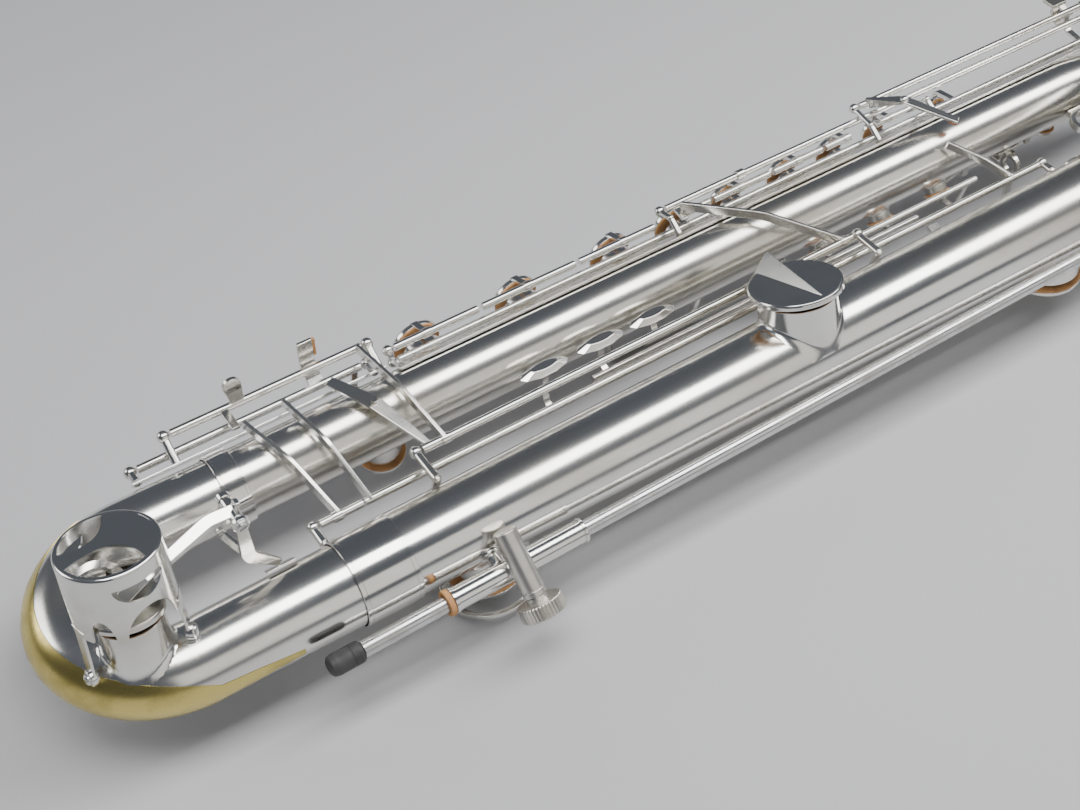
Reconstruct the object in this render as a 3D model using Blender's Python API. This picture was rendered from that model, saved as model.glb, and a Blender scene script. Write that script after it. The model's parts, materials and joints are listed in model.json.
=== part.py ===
"""Baritone saxophone lying on its side, as an assembly of separate pieces.

Lengths are in millimetres and are turned into metres when a mesh is made.
The horn's own frame: +X from the bow to the upper bow, the bell tube at -Y,
the body tube at +Y, +Z up. The parent empty lays the whole horn on the surface z = 0.
"""
import math

import bmesh
import bpy
from mathutils import Matrix, Vector

MM = 0.001

# ---- driving dimensions (mm) -------------------------------------------------
TUBE_SPACING = 110.0                  # between the axes of the bell tube and the body tube
BELL_Y = -TUBE_SPACING / 2
BODY_Y = TUBE_SPACING / 2
WALL = 1.4
GAP = 0.4                             # clearance between pieces that touch

BELL_R0 = 28.0                        # bell tube radius at x = 0
BELL_TAPER = 0.007                    # growth of that radius for each mm of x
BELL_START = -7.0
BELL_TUBE_END = 632.0
RIM_X = 745.0
RIM_R = 80.0
RIM_ROLL = 3.0                        # radius of the rolled bead round the rim

BODY_R = 24.3
BODY_START = -54.0
BODY_CONE_START = 700.0
BODY_END = 790.0
BODY_TOP_R = 17.0

BOW_CENTRE_X = -124.0                 # centre of the bow's bend
BOW_BULGE = 1.13                      # the bend reaches this much further than a half circle
PLATE_THICK = 0.9

CUP_THICK = 5.0
CHIMNEY_LEAN = 73.0                   # degrees from +Y towards +Z, bell keys on top

HINGE_R = 2.9                         # outer radius of the hinge tubes
BALL_R = 4.4                          # ball heads of the posts
LEVER_THICK = 2.0
LEVER_HEIGHT = 6.5

PEG_Y = -97.0
PEG_Z = -8.0
PEG_SLOPE = 0.006                     # the peg leans towards the bell tube
PEG_R = 5.5
PEG_SLEEVE_R = 7.9
PEG_TIP_X = -52.0
PEG_END_X = 624.0

NECK_Y = -21.0
NECK_Z = 50.0
RECEIVER_X = 872.0                    # end of the upper bow inside the neck socket

ROD_1 = (93.5, 27.5)                  # (y, z) of the long rods beside the body tube
ROD_2 = (87.0, 21.5)
ROD_3 = (80.5, 15.5)
ROD_4 = (100.5, 34.0)
HINGE_A = (0.0, 18.0)                 # (y, z) of the low B key's hinge
HINGE_B = (-7.0, 4.0)                 # (y, z) of the low B flat key's hinge

# How the horn lies: on three points, then the shift (m) that puts its box on the origin.
SUPPORTS = (                            # points of the horn that touch the surface (mm)
    Vector((745.0, -63.62, -82.05)),    # bell rim
    Vector((70.0, -32.11, -66.40)),     # guard under the low C sharp key
    Vector((338.0, 64.0, -73.14)),      # leg guard under the body tube
)
LAY_SHIFT = Vector((-0.377063, -0.016169, 0.0649))

COLOURS = {
    "plated_metal": ((0.78, 0.77, 0.73), 0.22, 1.0),
    "polished_metal": ((0.86, 0.85, 0.82), 0.14, 1.0),
    "worn_brass": ((0.72, 0.60, 0.28), 0.30, 1.0),
    "steel": ((0.62, 0.62, 0.61), 0.28, 1.0),
    "black_rubber": ((0.03, 0.03, 0.03), 0.60, 0.0),
    "hard_rubber": ((0.02, 0.02, 0.02), 0.25, 0.0),
    "pad_leather": ((0.62, 0.36, 0.16), 0.65, 0.0),
    "cork": ((0.62, 0.44, 0.28), 0.90, 0.0),
    "cane": ((0.85, 0.72, 0.45), 0.60, 0.0),
}


def bell_radius(x):
    return BELL_R0 + BELL_TAPER * x


def body_radius(x):
    if x <= BODY_CONE_START:
        return BODY_R
    share = (x - BODY_CONE_START) / (BODY_END - BODY_CONE_START)
    smooth = share * share * (3 - 2 * share)
    return BODY_R + (BODY_TOP_R - BODY_R) * smooth


def flare_radius(x):
    share = (x - BELL_TUBE_END) / (RIM_X - BELL_TUBE_END)
    base = bell_radius(x)
    return base + (RIM_R - bell_radius(RIM_X)) * share ** 2.7


def radial(angle_deg):
    """Unit vector across the tubes, from +Y towards +Z."""
    angle = math.radians(angle_deg)
    return Vector((0.0, math.cos(angle), math.sin(angle)))


def on_tube(x, centre_y, angle_deg, distance):
    return Vector((x, centre_y, 0.0)) + radial(angle_deg) * distance


# ---- solids: each returns (vertices, faces) in mm ----------------------------
def ring_frame(direction):
    direction = direction.normalized()
    helper = Vector((0, 0, 1)) if abs(direction.z) < 0.9 else Vector((1, 0, 0))
    side = direction.cross(helper).normalized()
    return side, direction.cross(side).normalized()


def turned(start, direction, profile, segments=12):
    """Solid of revolution: profile is (distance along, radius), radius > 0."""
    start = Vector(start)
    direction = Vector(direction).normalized()
    side, other = ring_frame(direction)
    verts = []
    faces = []
    for along, radius in profile:
        for k in range(segments):
            angle = 2 * math.pi * k / segments
            offset = side * math.cos(angle) * radius + other * math.sin(angle) * radius
            verts.append(start + direction * along + offset)
    for i in range(len(profile) - 1):
        for k in range(segments):
            a = i * segments + k
            b = i * segments + (k + 1) % segments
            faces.append((a, b, b + segments, a + segments))
    last = (len(profile) - 1) * segments
    faces.append(tuple(reversed(range(segments))))
    faces.append(tuple(last + k for k in range(segments)))
    return verts, faces


def rod(p0, p1, r0, r1=None, segments=8):
    p0, p1 = Vector(p0), Vector(p1)
    r1 = r0 if r1 is None else r1
    return turned(p0, p1 - p0, [(0, r0), ((p1 - p0).length, r1)], segments)


def ball(centre, radius, direction=(1, 0, 0), segments=7):
    steps = (-0.9, -0.4, 0.4, 0.9)
    profile = [(radius * s, radius * math.sqrt(1 - s * s)) for s in steps]
    return turned(centre, direction, profile, segments)


def hull(points):
    mesh = bmesh.new()
    for point in points:
        mesh.verts.new(Vector(point))
    result = bmesh.ops.convex_hull(mesh, input=mesh.verts)
    loose = [v for v in result["geom_interior"] if isinstance(v, bmesh.types.BMVert)]
    bmesh.ops.delete(mesh, geom=loose, context="VERTS")
    bmesh.ops.recalc_face_normals(mesh, faces=mesh.faces)
    mesh.verts.index_update()
    verts = [v.co.copy() for v in mesh.verts]
    faces = [tuple(v.index for v in f.verts) for f in mesh.faces]
    mesh.free()
    return verts, faces


def bar(p0, p1, width0, height0, width1=None, height1=None, up=(0, 0, 1)):
    """Straight bar with a rectangular section that may taper from p0 to p1."""
    p0, p1 = Vector(p0), Vector(p1)
    width1 = width0 if width1 is None else width1
    height1 = height0 if height1 is None else height1
    along = (p1 - p0).normalized()
    side = along.cross(Vector(up)).normalized()
    rise = side.cross(along).normalized()
    points = []
    for centre, width, height in ((p0, width0, height0), (p1, width1, height1)):
        for a in (-0.5, 0.5):
            for b in (-0.5, 0.5):
                points.append(centre + side * width * a + rise * height * b)
    return hull(points)


def bars(points, width, height, up=(0, 0, 1)):
    """Chain of bars through the points, with a round joint at each inner point."""
    pieces = []
    for p0, p1 in zip(points, points[1:]):
        pieces.append(bar(p0, p1, width, height, up=up))
    for point in points[1:-1]:
        centre = Vector(point)
        spin = Vector(up).normalized()
        pieces.append(rod(centre - spin * height / 2, centre + spin * height / 2, width / 2, segments=6))
    return pieces


def cup(x, centre_y, angle, height, radius, segments=20):
    """Key cup: a shallow lid whose rim is at the given height over the tube's axis."""
    profile = [(0, radius), (CUP_THICK * 0.65, radius), (CUP_THICK, radius - 1.6)]
    return turned(on_tube(x, centre_y, angle, height), radial(angle), profile, segments)


def swept_tube(path, radii, wall, segments):
    """Hollow tube along a path, open at both ends, with square-cut ends."""
    verts = []
    faces = []
    count = len(path)
    normal = None
    frames = []
    for i, point in enumerate(path):
        before = path[max(i - 1, 0)]
        after = path[min(i + 1, count - 1)]
        tangent = (after - before).normalized()
        if normal is None:
            normal = ring_frame(tangent)[0]
        normal = (normal - tangent * normal.dot(tangent)).normalized()
        frames.append((point, normal.copy(), tangent.cross(normal)))
    for inner in (0.0, wall):
        for (point, side, other), radius in zip(frames, radii):
            for k in range(segments):
                angle = 2 * math.pi * k / segments
                offset = side * math.cos(angle) + other * math.sin(angle)
                verts.append(point + offset * (radius - inner))
    shell = count * segments
    for i in range(count - 1):
        for k in range(segments):
            a = i * segments + k
            b = i * segments + (k + 1) % segments
            faces.append((a, b, b + segments, a + segments))
            faces.append((shell + b, shell + a, shell + a + segments, shell + b + segments))
    last = (count - 1) * segments
    for k in range(segments):
        n = (k + 1) % segments
        faces.append((n, k, shell + k, shell + n))
        faces.append((last + k, last + n, shell + last + n, shell + last + k))
    return verts, faces


def pipe_ring(start, direction, length, inner, outer, segments=24):
    """Plain collar."""
    start = Vector(start)
    direction = Vector(direction).normalized()
    path = [start, start + direction * length]
    return swept_tube(path, [outer, outer], outer - inner, segments)


def arc_points(centre, radius_x, radius_y, start_deg, end_deg, steps):
    points = []
    for i in range(steps + 1):
        angle = math.radians(start_deg + (end_deg - start_deg) * i / steps)
        points.append(Vector(centre) + Vector((radius_x * math.cos(angle), radius_y * math.sin(angle), 0)))
    return points


# ---- Blender objects ----------------------------------------------------------
def clear_objects():
    for obj in list(bpy.data.objects):
        bpy.data.objects.remove(obj, do_unlink=True)


def material(slot):
    found = bpy.data.materials.get(slot)
    if found:
        return found
    colour, roughness, metallic = COLOURS[slot]
    made = bpy.data.materials.new(slot)
    made.use_nodes = True
    shader = made.node_tree.nodes["Principled BSDF"]
    shader.inputs["Base Color"].default_value = (*colour, 1.0)
    shader.inputs["Roughness"].default_value = roughness
    shader.inputs["Metallic"].default_value = metallic
    return made


def raw_object(name, solid):
    verts, faces = solid
    mesh = bpy.data.meshes.new(name)
    mesh.from_pydata([tuple(v * MM) for v in verts], [], faces)
    work = bmesh.new()
    work.from_mesh(mesh)
    bmesh.ops.recalc_face_normals(work, faces=work.faces)
    work.to_mesh(mesh)
    work.free()
    obj = bpy.data.objects.new(name, mesh)
    bpy.context.scene.collection.objects.link(obj)
    return obj


def combine(base, operation, solids):
    """Join the solids to the base, or cut them from it, one Boolean for all of them."""
    if not solids:
        return
    group = bpy.data.collections.new("operands")
    bpy.context.scene.collection.children.link(group)
    helpers = []
    for solid in solids:
        helper = raw_object("operand", solid)
        bpy.context.scene.collection.objects.unlink(helper)
        group.objects.link(helper)
        helpers.append(helper)
    modifier = base.modifiers.new("combine", "BOOLEAN")
    modifier.operand_type = "COLLECTION"
    modifier.collection = group
    modifier.operation = operation
    modifier.solver = "EXACT"
    bpy.context.view_layer.update()
    evaluated = base.evaluated_get(bpy.context.evaluated_depsgraph_get())
    mesh = bpy.data.meshes.new_from_object(evaluated)
    base.modifiers.clear()
    base.data = mesh
    for helper in helpers:
        bpy.data.objects.remove(helper, do_unlink=True)
    bpy.data.collections.remove(group)


def piece(name, slot, solids, cuts=(), origin=(0, 0, 0), turn=None):
    """One named node: solids joined, cuts removed, origin on its joint's axis.

    turn is (axis point, axis, degrees): where the piece stands at rest, turned from
    the position that it is drawn in.
    """
    obj = raw_object(name, solids[0])
    combine(obj, "UNION", solids[1:])
    combine(obj, "DIFFERENCE", cuts)
    if turn:
        point, axis, degrees = turn
        point = Vector(point) * MM
        spin = Matrix.Rotation(math.radians(degrees), 4, Vector(axis))
        obj.data.transform(Matrix.Translation(point) @ spin @ Matrix.Translation(-point))
    work = bmesh.new()
    work.from_mesh(obj.data)
    bmesh.ops.remove_doubles(work, verts=work.verts, dist=2e-6)
    bmesh.ops.dissolve_degenerate(work, edges=work.edges, dist=1e-6)
    work.to_mesh(obj.data)
    bmesh.ops.dissolve_limit(work, angle_limit=math.radians(0.3), verts=work.verts, edges=work.edges)
    bmesh.ops.triangulate(work, faces=[f for f in work.faces if len(f.verts) > 4])
    if all(len(edge.link_faces) == 2 for edge in work.edges):
        work.to_mesh(obj.data)          # flat faces merged, and the body is still closed
    work.free()
    home = Vector(origin) * MM
    obj.data.transform(Matrix.Translation(-home))
    obj.location = home
    obj.data.materials.clear()
    obj.data.materials.append(material(slot))
    obj.data.shade_smooth()
    obj.data.set_sharp_from_angle(angle=math.radians(35))
    obj.parent = bpy.data.objects["lay"]
    return obj


# ---- the tubes ------------------------------------------------------------------
STACK = (                               # name, x, cup radius, hinge tube from, to
    ("key_d", 118.0, 19.0, 92.0, 160.0),
    ("key_e", 202.0, 18.0, 164.0, 243.0),
    ("key_f", 286.0, 17.5, 247.0, 314.0),
    ("key_f_sharp", 344.0, 15.5, 343.0, 366.0),
    ("key_g", 396.0, 15.0, 370.0, 424.0),
    ("key_a", 452.0, 14.0, 428.0, 476.0),
    ("key_b", 501.0, 12.5, 480.0, 505.0),
    ("key_c", 548.0, 10.5, 530.0, 573.0),
)
STACK_ANGLE = -7.0
STACK_HEIGHT = 41.0                     # chimney top over the body tube's axis
STACK_OPEN = 13.0                       # degrees that a stack key stands open

E_FLAT_X = 62.0                         # cup under the body tube
E_FLAT_ANGLE = -78.0
E_FLAT_R = 19.0
E_FLAT_HEIGHT = 44.0
G_SHARP_X = 612.0
G_SHARP_R = 11.0

SIDE = (                                # name, cup x, cup radius, touch x, rod (y, z)
    ("key_side_b_flat", 440.0, 11.5, 170.0, (9.0, -17.0)),
    ("key_side_c", 500.0, 11.0, 217.0, (8.0, -7.0)),
    ("key_high_e", 560.0, 10.5, 262.0, (9.0, 3.0)),
)
SIDE_ANGLE = -130.0
SIDE_HEIGHT = 31.0

PALM = (                                # name, cup x, angle round the body tube, cup radius
    ("key_palm_d", 655.0, -62.0, 10.5),
    ("key_palm_e_flat", 700.0, -92.0, 10.0),
    ("key_palm_f", 745.0, -62.0, 9.5),
)
PALM_HEIGHT = 31.0

BELL_KEYS = {                           # x, angle, chimney top over the axis, cup radius
    "low_b": (341.0, CHIMNEY_LEAN, 46.4, 33.6),
    "low_b_flat": (590.0, -95.0, 45.0, 33.0),
    "low_c_sharp": (70.0, -99.0, 38.0, 27.5),
}
CHIMNEY_STEP = 5.4                      # a cup is this much wider in radius than its chimney


def chimney(x, centre_y, angle, tube_radius, height, cup_radius, segments=20):
    """Solid for a tone hole's rim and the cutter for its bore."""
    outer = cup_radius - CHIMNEY_STEP * min(1.0, cup_radius / 30.0)
    low = math.sqrt(max(tube_radius ** 2 - outer ** 2, 25.0)) - 3.0
    start = on_tube(x, centre_y, angle, low)
    solid = turned(start, radial(angle), [(0, outer), (height - low, outer)], segments)
    bore_start = on_tube(x, centre_y, angle, 2.0)
    bore = turned(bore_start, radial(angle), [(0, outer - WALL), (height, outer - WALL)], segments)
    return solid, bore


def build_body_tube():
    stations = [BODY_START, BODY_CONE_START, 745.0, BODY_END]
    path = [Vector((x, BODY_Y, 0)) for x in stations]
    shell = swept_tube(path, [body_radius(x) for x in stations], WALL, 18)
    rims = [chimney(x, BODY_Y, STACK_ANGLE, BODY_R, STACK_HEIGHT, r, 10) for _, x, r, _, _ in STACK]
    rims.append(chimney(G_SHARP_X, BODY_Y, STACK_ANGLE, BODY_R, STACK_HEIGHT, G_SHARP_R, 8))
    rims.append(chimney(E_FLAT_X, BODY_Y, E_FLAT_ANGLE, BODY_R, E_FLAT_HEIGHT, E_FLAT_R, 10))
    rims += [chimney(x, BODY_Y, SIDE_ANGLE, BODY_R, SIDE_HEIGHT, r, 7) for _, x, r, _, _ in SIDE]
    rims += [chimney(x, BODY_Y, a, body_radius(x), PALM_HEIGHT, r, 7) for _, x, a, r in PALM]
    solids = [shell] + [r[0] for r in rims] + palm_saddles() + octave_saddle()
    piece("body_tube", "plated_metal", solids, [r[1] for r in rims])


def build_bell():
    stations = [BELL_START, BELL_TUBE_END]
    path = [Vector((x, BELL_Y, 0)) for x in stations]
    shell = swept_tube(path, [bell_radius(x) for x in stations], WALL, 24)
    rims = [chimney(x, BELL_Y, a, bell_radius(x), h, r, 18) for x, a, h, r in BELL_KEYS.values()]
    piece("bell_tube", "plated_metal", [shell] + [r[0] for r in rims], [r[1] for r in rims])
    steps = 6
    xs = [BELL_TUBE_END + GAP + (RIM_X - BELL_TUBE_END - GAP) * (i / steps) ** 0.8 for i in range(steps + 1)]
    path = [Vector((x, BELL_Y, 0)) for x in xs]
    flare = swept_tube(path, [flare_radius(x) for x in xs], WALL, 26)
    x = BELL_TUBE_END + 1.0
    collar = pipe_ring((x, BELL_Y, 0), (1, 0, 0), 9.0, bell_radius(x) - 0.8, bell_radius(x) + 2.0, 26)
    piece("bell_flare", "polished_metal", [flare, rim_bead(), collar])


def rim_bead():
    """The rolled bead: a ring with a round section at the mouth of the bell."""
    verts = []
    faces = []
    around = 26
    section = 4
    for i in range(around):
        angle = 2 * math.pi * i / around
        for k in range(section):
            turn = 2 * math.pi * k / section
            radius = RIM_R - 0.5 + RIM_ROLL * math.cos(turn)
            x = RIM_X + RIM_ROLL * math.sin(turn)
            verts.append(Vector((x, BELL_Y + radius * math.cos(angle), radius * math.sin(angle))))
    for i in range(around):
        for k in range(section):
            a = i * section + k
            b = i * section + (k + 1) % section
            c = ((i + 1) % around) * section + (k + 1) % section
            d = ((i + 1) % around) * section + k
            faces.append((a, b, c, d))
    return verts, faces


def bow_path(steps=9):
    """Centre line of the bow, from the bell side round to the body side."""
    points = [Vector((BELL_START - GAP, BELL_Y, 0)), Vector((-70.0, BELL_Y, 0))]
    points += arc_points((BOW_CENTRE_X, 0, 0), BODY_Y * BOW_BULGE, BODY_Y, 270, 90, steps)
    points.append(Vector((BODY_START - GAP, BODY_Y, 0)))
    return points


def bow_radii(path):
    total = sum((b - a).length for a, b in zip(path, path[1:]))
    radii = []
    run = 0.0
    for i, point in enumerate(path):
        if i:
            run += (point - path[i - 1]).length
        share = run / total
        radii.append(bell_radius(BELL_START) + (BODY_R - bell_radius(BELL_START)) * share)
    return radii


LOW_C_FOOT = Vector((-157.0, -47.5, 0.0))       # on the bow's centre line
LOW_C_AXIS = Vector((0.05, 0.225, 0.973)).normalized()
LOW_C_CHIMNEY = 50.0
LOW_C_CUP_R = 25.0


def build_bow():
    path = bow_path()
    shell = swept_tube(path, bow_radii(path), WALL, 20)
    outer = LOW_C_CUP_R - 4.5
    rim = turned(LOW_C_FOOT + LOW_C_AXIS * 14, LOW_C_AXIS, [(0, outer), (LOW_C_CHIMNEY - 14, outer)], 16)
    bore = turned(LOW_C_FOOT, LOW_C_AXIS, [(0, outer - WALL), (LOW_C_CHIMNEY + 5, outer - WALL)], 16)
    piece("bow", "plated_metal", [shell, rim], [bore])
    collar = pipe_ring((-27.0, BELL_Y, 0), (1, 0, 0), 40.0, bell_radius(13) + 0.5, bell_radius(13) + 1.5, 28)
    piece("bow_ferrule_bell", "polished_metal", [collar])
    collar = pipe_ring((BODY_START - 8, BODY_Y, 0), (1, 0, 0), 16.0, BODY_R + 0.9, BODY_R + 2.3, 24)
    piece("bow_ferrule_body", "polished_metal", [collar])


def build_bow_plate():
    """Thin leaf-shaped shell on the outer lower side of the bow."""
    path = bow_path(16)
    radii = bow_radii(path)
    first = 2
    last = len(path) - 2
    rows = []
    for i in range(first, last + 1):
        tangent = (path[min(i + 1, len(path) - 1)] - path[i - 1]).normalized()
        outward = Vector((0, 0, 1)).cross(tangent).normalized()
        share = (i - first) / (last - first)
        leaf = math.sin(math.pi * share) ** 0.55 if 0 < share < 1 else 0.0
        leaf = max(leaf, 0.04)
        middle = -16.0
        rows.append((path[i], outward, radii[i], middle, leaf))
    verts = []
    faces = []
    columns = 5
    for offset in (0.7, 0.7 + PLATE_THICK):
        for point, outward, radius, middle, leaf in rows:
            for c in range(columns):
                angle = math.radians(middle + 36.0 * leaf * (2 * c / (columns - 1) - 1))
                direction = outward * math.cos(angle) + Vector((0, 0, 1)) * math.sin(angle)
                verts.append(point + direction * (radius + offset))
    count = len(rows)
    layer = count * columns
    for i in range(count - 1):
        for c in range(columns - 1):
            a = i * columns + c
            faces.append((a, a + 1, a + 1 + columns, a + columns))
            faces.append((layer + a, layer + a + columns, layer + a + 1 + columns, layer + a + 1))
    for i in range(count - 1):
        for c in (0, columns - 1):
            a = i * columns + c
            b = a + columns
            faces.append((a, b, layer + b, layer + a))
    for i in (0, count - 1):
        for c in range(columns - 1):
            a = i * columns + c
            faces.append((a, layer + a, layer + a + 1, a + 1))
    piece("bow_plate", "worn_brass", [(verts, faces)])


# ---- the low C key and its guard --------------------------------------------------
GUARD_TOP = 104.0                       # over the bow's centre line
GUARD_R = 31.0
GUARD_FEET = (245, 325, 100)            # angles round the cage


def guard_point(angle_deg, radius, height):
    side, other = ring_frame(LOW_C_AXIS)
    angle = math.radians(angle_deg)
    return LOW_C_FOOT + LOW_C_AXIS * height + side * radius * math.cos(angle) + other * radius * math.sin(angle)


def build_low_c_guard():
    """Drum-shaped cage: a top ring with two bars, a middle ring, four legs with feet."""
    top = pipe_ring(LOW_C_FOOT + LOW_C_AXIS * (GUARD_TOP - 6), LOW_C_AXIS, 6.0, GUARD_R - 2.0, GUARD_R, 16)
    middle = pipe_ring(LOW_C_FOOT + LOW_C_AXIS * 62, LOW_C_AXIS, 7.0, GUARD_R - 1.6, GUARD_R + 0.4, 16)
    solids = [top, middle]
    for angle in (20, 95, 285):
        high = guard_point(angle, GUARD_R - 1.0, GUARD_TOP - 2)
        low = guard_point(angle + 8, GUARD_R - 0.8, 64)
        solids.append(bar(high, low, 2.0, 9.0, 2.0, 7.0, up=guard_point(angle, 1, 0) - guard_point(angle + 180, 1, 0)))
    for start, end in ((40, 200), (250, 340)):
        p0 = guard_point(start, GUARD_R - 1.5, GUARD_TOP - 1.2)
        p1 = guard_point(end, GUARD_R - 1.5, GUARD_TOP - 1.2)
        solids.append(bar(p0, p1, 7.0, 2.0, up=LOW_C_AXIS))
    for angle in GUARD_FEET:
        high = guard_point(angle, GUARD_R - 0.6, 66)
        foot = guard_point(angle, GUARD_R + 0.6, foot_height(angle))
        out = guard_point(angle, 1, 0) - guard_point(angle + 180, 1, 0)
        solids.append(bar(high, foot, 9.0, 2.2, 8.0, 2.2, up=out))
        solids.append(turned(foot - out.normalized() * 2.5, out, [(0, 4.6), (5.5, 4.6)], 10))
    piece("low_c_guard", "plated_metal", solids)


def foot_height(angle):
    """Height along the cage at which a leg's foot just stands clear of the bow."""
    path = bow_path(18)
    radii = bow_radii(path)
    height = 66.0
    while height > 20.0:
        point = guard_point(angle, GUARD_R + 0.6, height)
        room = min((point - centre).length - radius for centre, radius in zip(path, radii))
        if room < 5.6:
            break
        height -= 0.5
    return height


LOW_C_HINGE = Vector((-77.0, -22.0, 74.0))


def build_low_c_key():
    low = LOW_C_FOOT + LOW_C_AXIS * (LOW_C_CHIMNEY + 0.5)
    profile = [(0, LOW_C_CUP_R), (CUP_THICK * 0.65, LOW_C_CUP_R), (CUP_THICK, LOW_C_CUP_R - 1.6)]
    lid = turned(low, LOW_C_AXIS, profile, 20)
    centre = LOW_C_FOOT + LOW_C_AXIS * (LOW_C_CHIMNEY + CUP_THICK + 2)
    hinge = LOW_C_HINGE
    arm = [hinge, hinge + Vector((-16, 0, 0)), centre + Vector((20, 3, 8)), centre]
    solids = [lid] + bars(arm, 6.0, 4.5)
    solids.append(rod(hinge + Vector((0, -7, 0)), hinge + Vector((0, 9, 0)), 3.6, segments=12))
    tail = [hinge, hinge + Vector((3, 0, 9))]
    solids.append(bar(tail[0], tail[1], 5.0, 3.0, up=(1, 0, 0)))
    piece("low_c_key", "plated_metal", solids, origin=hinge, turn=(hinge, (0, 1, 0), 5.0))


def build_low_c_post():
    """A-frame on the bow with the pivot screw of the low C key between its two cheeks."""
    hinge = LOW_C_HINGE
    foot = on_tube(-58.0, BELL_Y, 47.0, 30.0)
    knee = Vector((-76.0, -30.5, 40.0))
    cheek_near = hinge + Vector((0, -9.2, 0))
    cheek_far = hinge + Vector((0, 11.2, 0))
    solids = bars([cheek_near + Vector((0, 0, 4)), knee, foot + radial(47.0) * 2.2], 6.5, 3.0, up=(0, 1, 0))
    solids.append(bar(foot + Vector((7, 0, 0)), foot - Vector((9, 0, 0)), 9.0, 1.8, up=radial(47.0)))
    solids += bars([cheek_far + Vector((0, 0, 4)), Vector((-84.0, -6.0, 44.0)), knee], 5.0, 3.0, up=(0, 1, 0))
    solids.append(rod(cheek_far - Vector((0, 1.0, 0)), cheek_far + Vector((0, 3.2, 0)), 3.8, segments=10))
    solids.append(rod(cheek_near + Vector((0, -3.5, 0)), cheek_near, 4.2, segments=12))
    piece("low_c_post", "plated_metal", solids)


# ---- bell keys -----------------------------------------------------------------------
def ridge_arm(hinge, angle, centre_top, reach, width):
    """Pointed ridge from the hinge tube across a cup: high at the near rim, sharp at its tip."""
    up = radial(angle)
    across = (centre_top - hinge)
    across -= up * across.dot(up)
    across.x = 0
    across.normalize()
    near_rim = centre_top - across * reach
    tip = centre_top + across * (reach * 0.82)
    side = Vector((width / 2, 0, 0))
    ridge = [near_rim + side - up * 1.0, near_rim - side - up * 1.0, near_rim + up * 9.0,
             tip + up * 0.6, tip + side * 0.15 - up * 1.0, tip - side * 0.15 - up * 1.0]
    neck = [hinge + side * 0.75, hinge - side * 0.75, hinge + side * 0.75 - up * 3, hinge - side * 0.75 - up * 3,
            near_rim + side - up * 1.0, near_rim - side - up * 1.0, near_rim + up * 9.0]
    return [hull(ridge), hull(neck)]


def crossing_lever(hinge, far, crown, tall=LEVER_HEIGHT):
    """Flat lever on edge, from a hinge tube over the body tube to the far rods."""
    hinge, far = Vector(hinge), Vector(far)
    middle = (hinge + far) / 2 + Vector((0, 0, crown))
    return bars([hinge, middle, far], LEVER_THICK, tall)


LOW_B_OPEN = 2.5                        # degrees that the low B cup stands open
B_FLAT_OPEN = 3.0


def build_low_b_key():
    x, angle, height, radius = BELL_KEYS["low_b"]
    hinge = Vector((0, *HINGE_A))
    solids = [rod((77.0, *HINGE_A), (432.0, *HINGE_A), HINGE_R, segments=8)]
    solids.append(cup(x, BELL_Y, angle, height + 0.5, radius, 20))
    top = on_tube(x, BELL_Y, angle, height + 0.5 + CUP_THICK)
    solids += ridge_arm(Vector((x - 6, *HINGE_A)), angle, top, radius, 15.0)
    solids += crossing_lever((79.5, *HINGE_A), (66.0, 90.0, 37.0), 6.0)
    solids += crossing_lever((424.0, *HINGE_A), (338.0, 86.0, 35.0), 8.0)
    low = on_tube(x, BELL_Y, angle, height - 2.4)
    recess = rod(low, low + radial(angle) * 5.8, radius - 2.0, segments=20)
    piece("low_b_key", "plated_metal", solids, [recess], hinge, (hinge, (1, 0, 0), -LOW_B_OPEN))


def build_bridge_lever():
    """Broad lever that shares the low B key's hinge and carries an adjusting screw."""
    solids = [rod((62.5, *HINGE_A), (76.5, *HINGE_A), HINGE_R + 0.3, segments=10)]
    start = Vector((69.0, *HINGE_A))
    middle = Vector((52.0, 42.0, 31.0))
    far = Vector((36.0, 76.0, 31.0))
    solids.append(bar(start, middle, 4.0, 2.2, 11.0, 2.2))
    solids.append(bar(middle, far, 11.0, 2.2, 8.0, 2.2))
    solids.append(rod(middle - Vector((0, 0, 3.5)), middle + Vector((0, 0, 3.0)), 2.2, segments=8))
    piece("bridge_lever", "plated_metal", solids, origin=(69.0, *HINGE_A))


def build_low_b_flat_key():
    x, angle, height, radius = BELL_KEYS["low_b_flat"]
    solids = [rod((14.0, *HINGE_B), (621.0, *HINGE_B), HINGE_R, segments=8)]
    solids.append(cup(x, BELL_Y, angle, height + 0.5, radius, 16))
    top = on_tube(x, BELL_Y, angle, height + CUP_THICK)
    solids += bars([Vector((x, *HINGE_B)), Vector((x, -11.0, -40.0)), Vector((x, -21.0, -55.0)),
                    top + Vector((0, 7, -2.4))], 3.2, 6.0, up=(1, 0, 0))
    solids += crossing_lever((18.0, *HINGE_B), (1.0, 76.0, 29.0), 11.0)
    solids += crossing_lever((593.0, *HINGE_B), (560.0, 37.0, 20.5), 2.0)
    hinge = Vector((0, *HINGE_B))
    piece("low_b_flat_key", "plated_metal", solids, origin=hinge, turn=(hinge, (1, 0, 0), B_FLAT_OPEN))


def build_low_c_link():
    solids = [rod((-19.0, *HINGE_B), (12.6, *HINGE_B), HINGE_R, segments=8)]
    solids += crossing_lever((-5.0, *HINGE_B), (-29.0, 72.0, 33.0), 9.0)
    solids.append(rod((-10.0, *HINGE_B), (-3.0, *HINGE_B), HINGE_R + 1.2, segments=10))
    piece("low_c_link", "plated_metal", solids, origin=(0, *HINGE_B))


C_SHARP_HINGE = Vector((0.0, -14.0, -30.0))
C_SHARP_OPEN = 8.0


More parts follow.
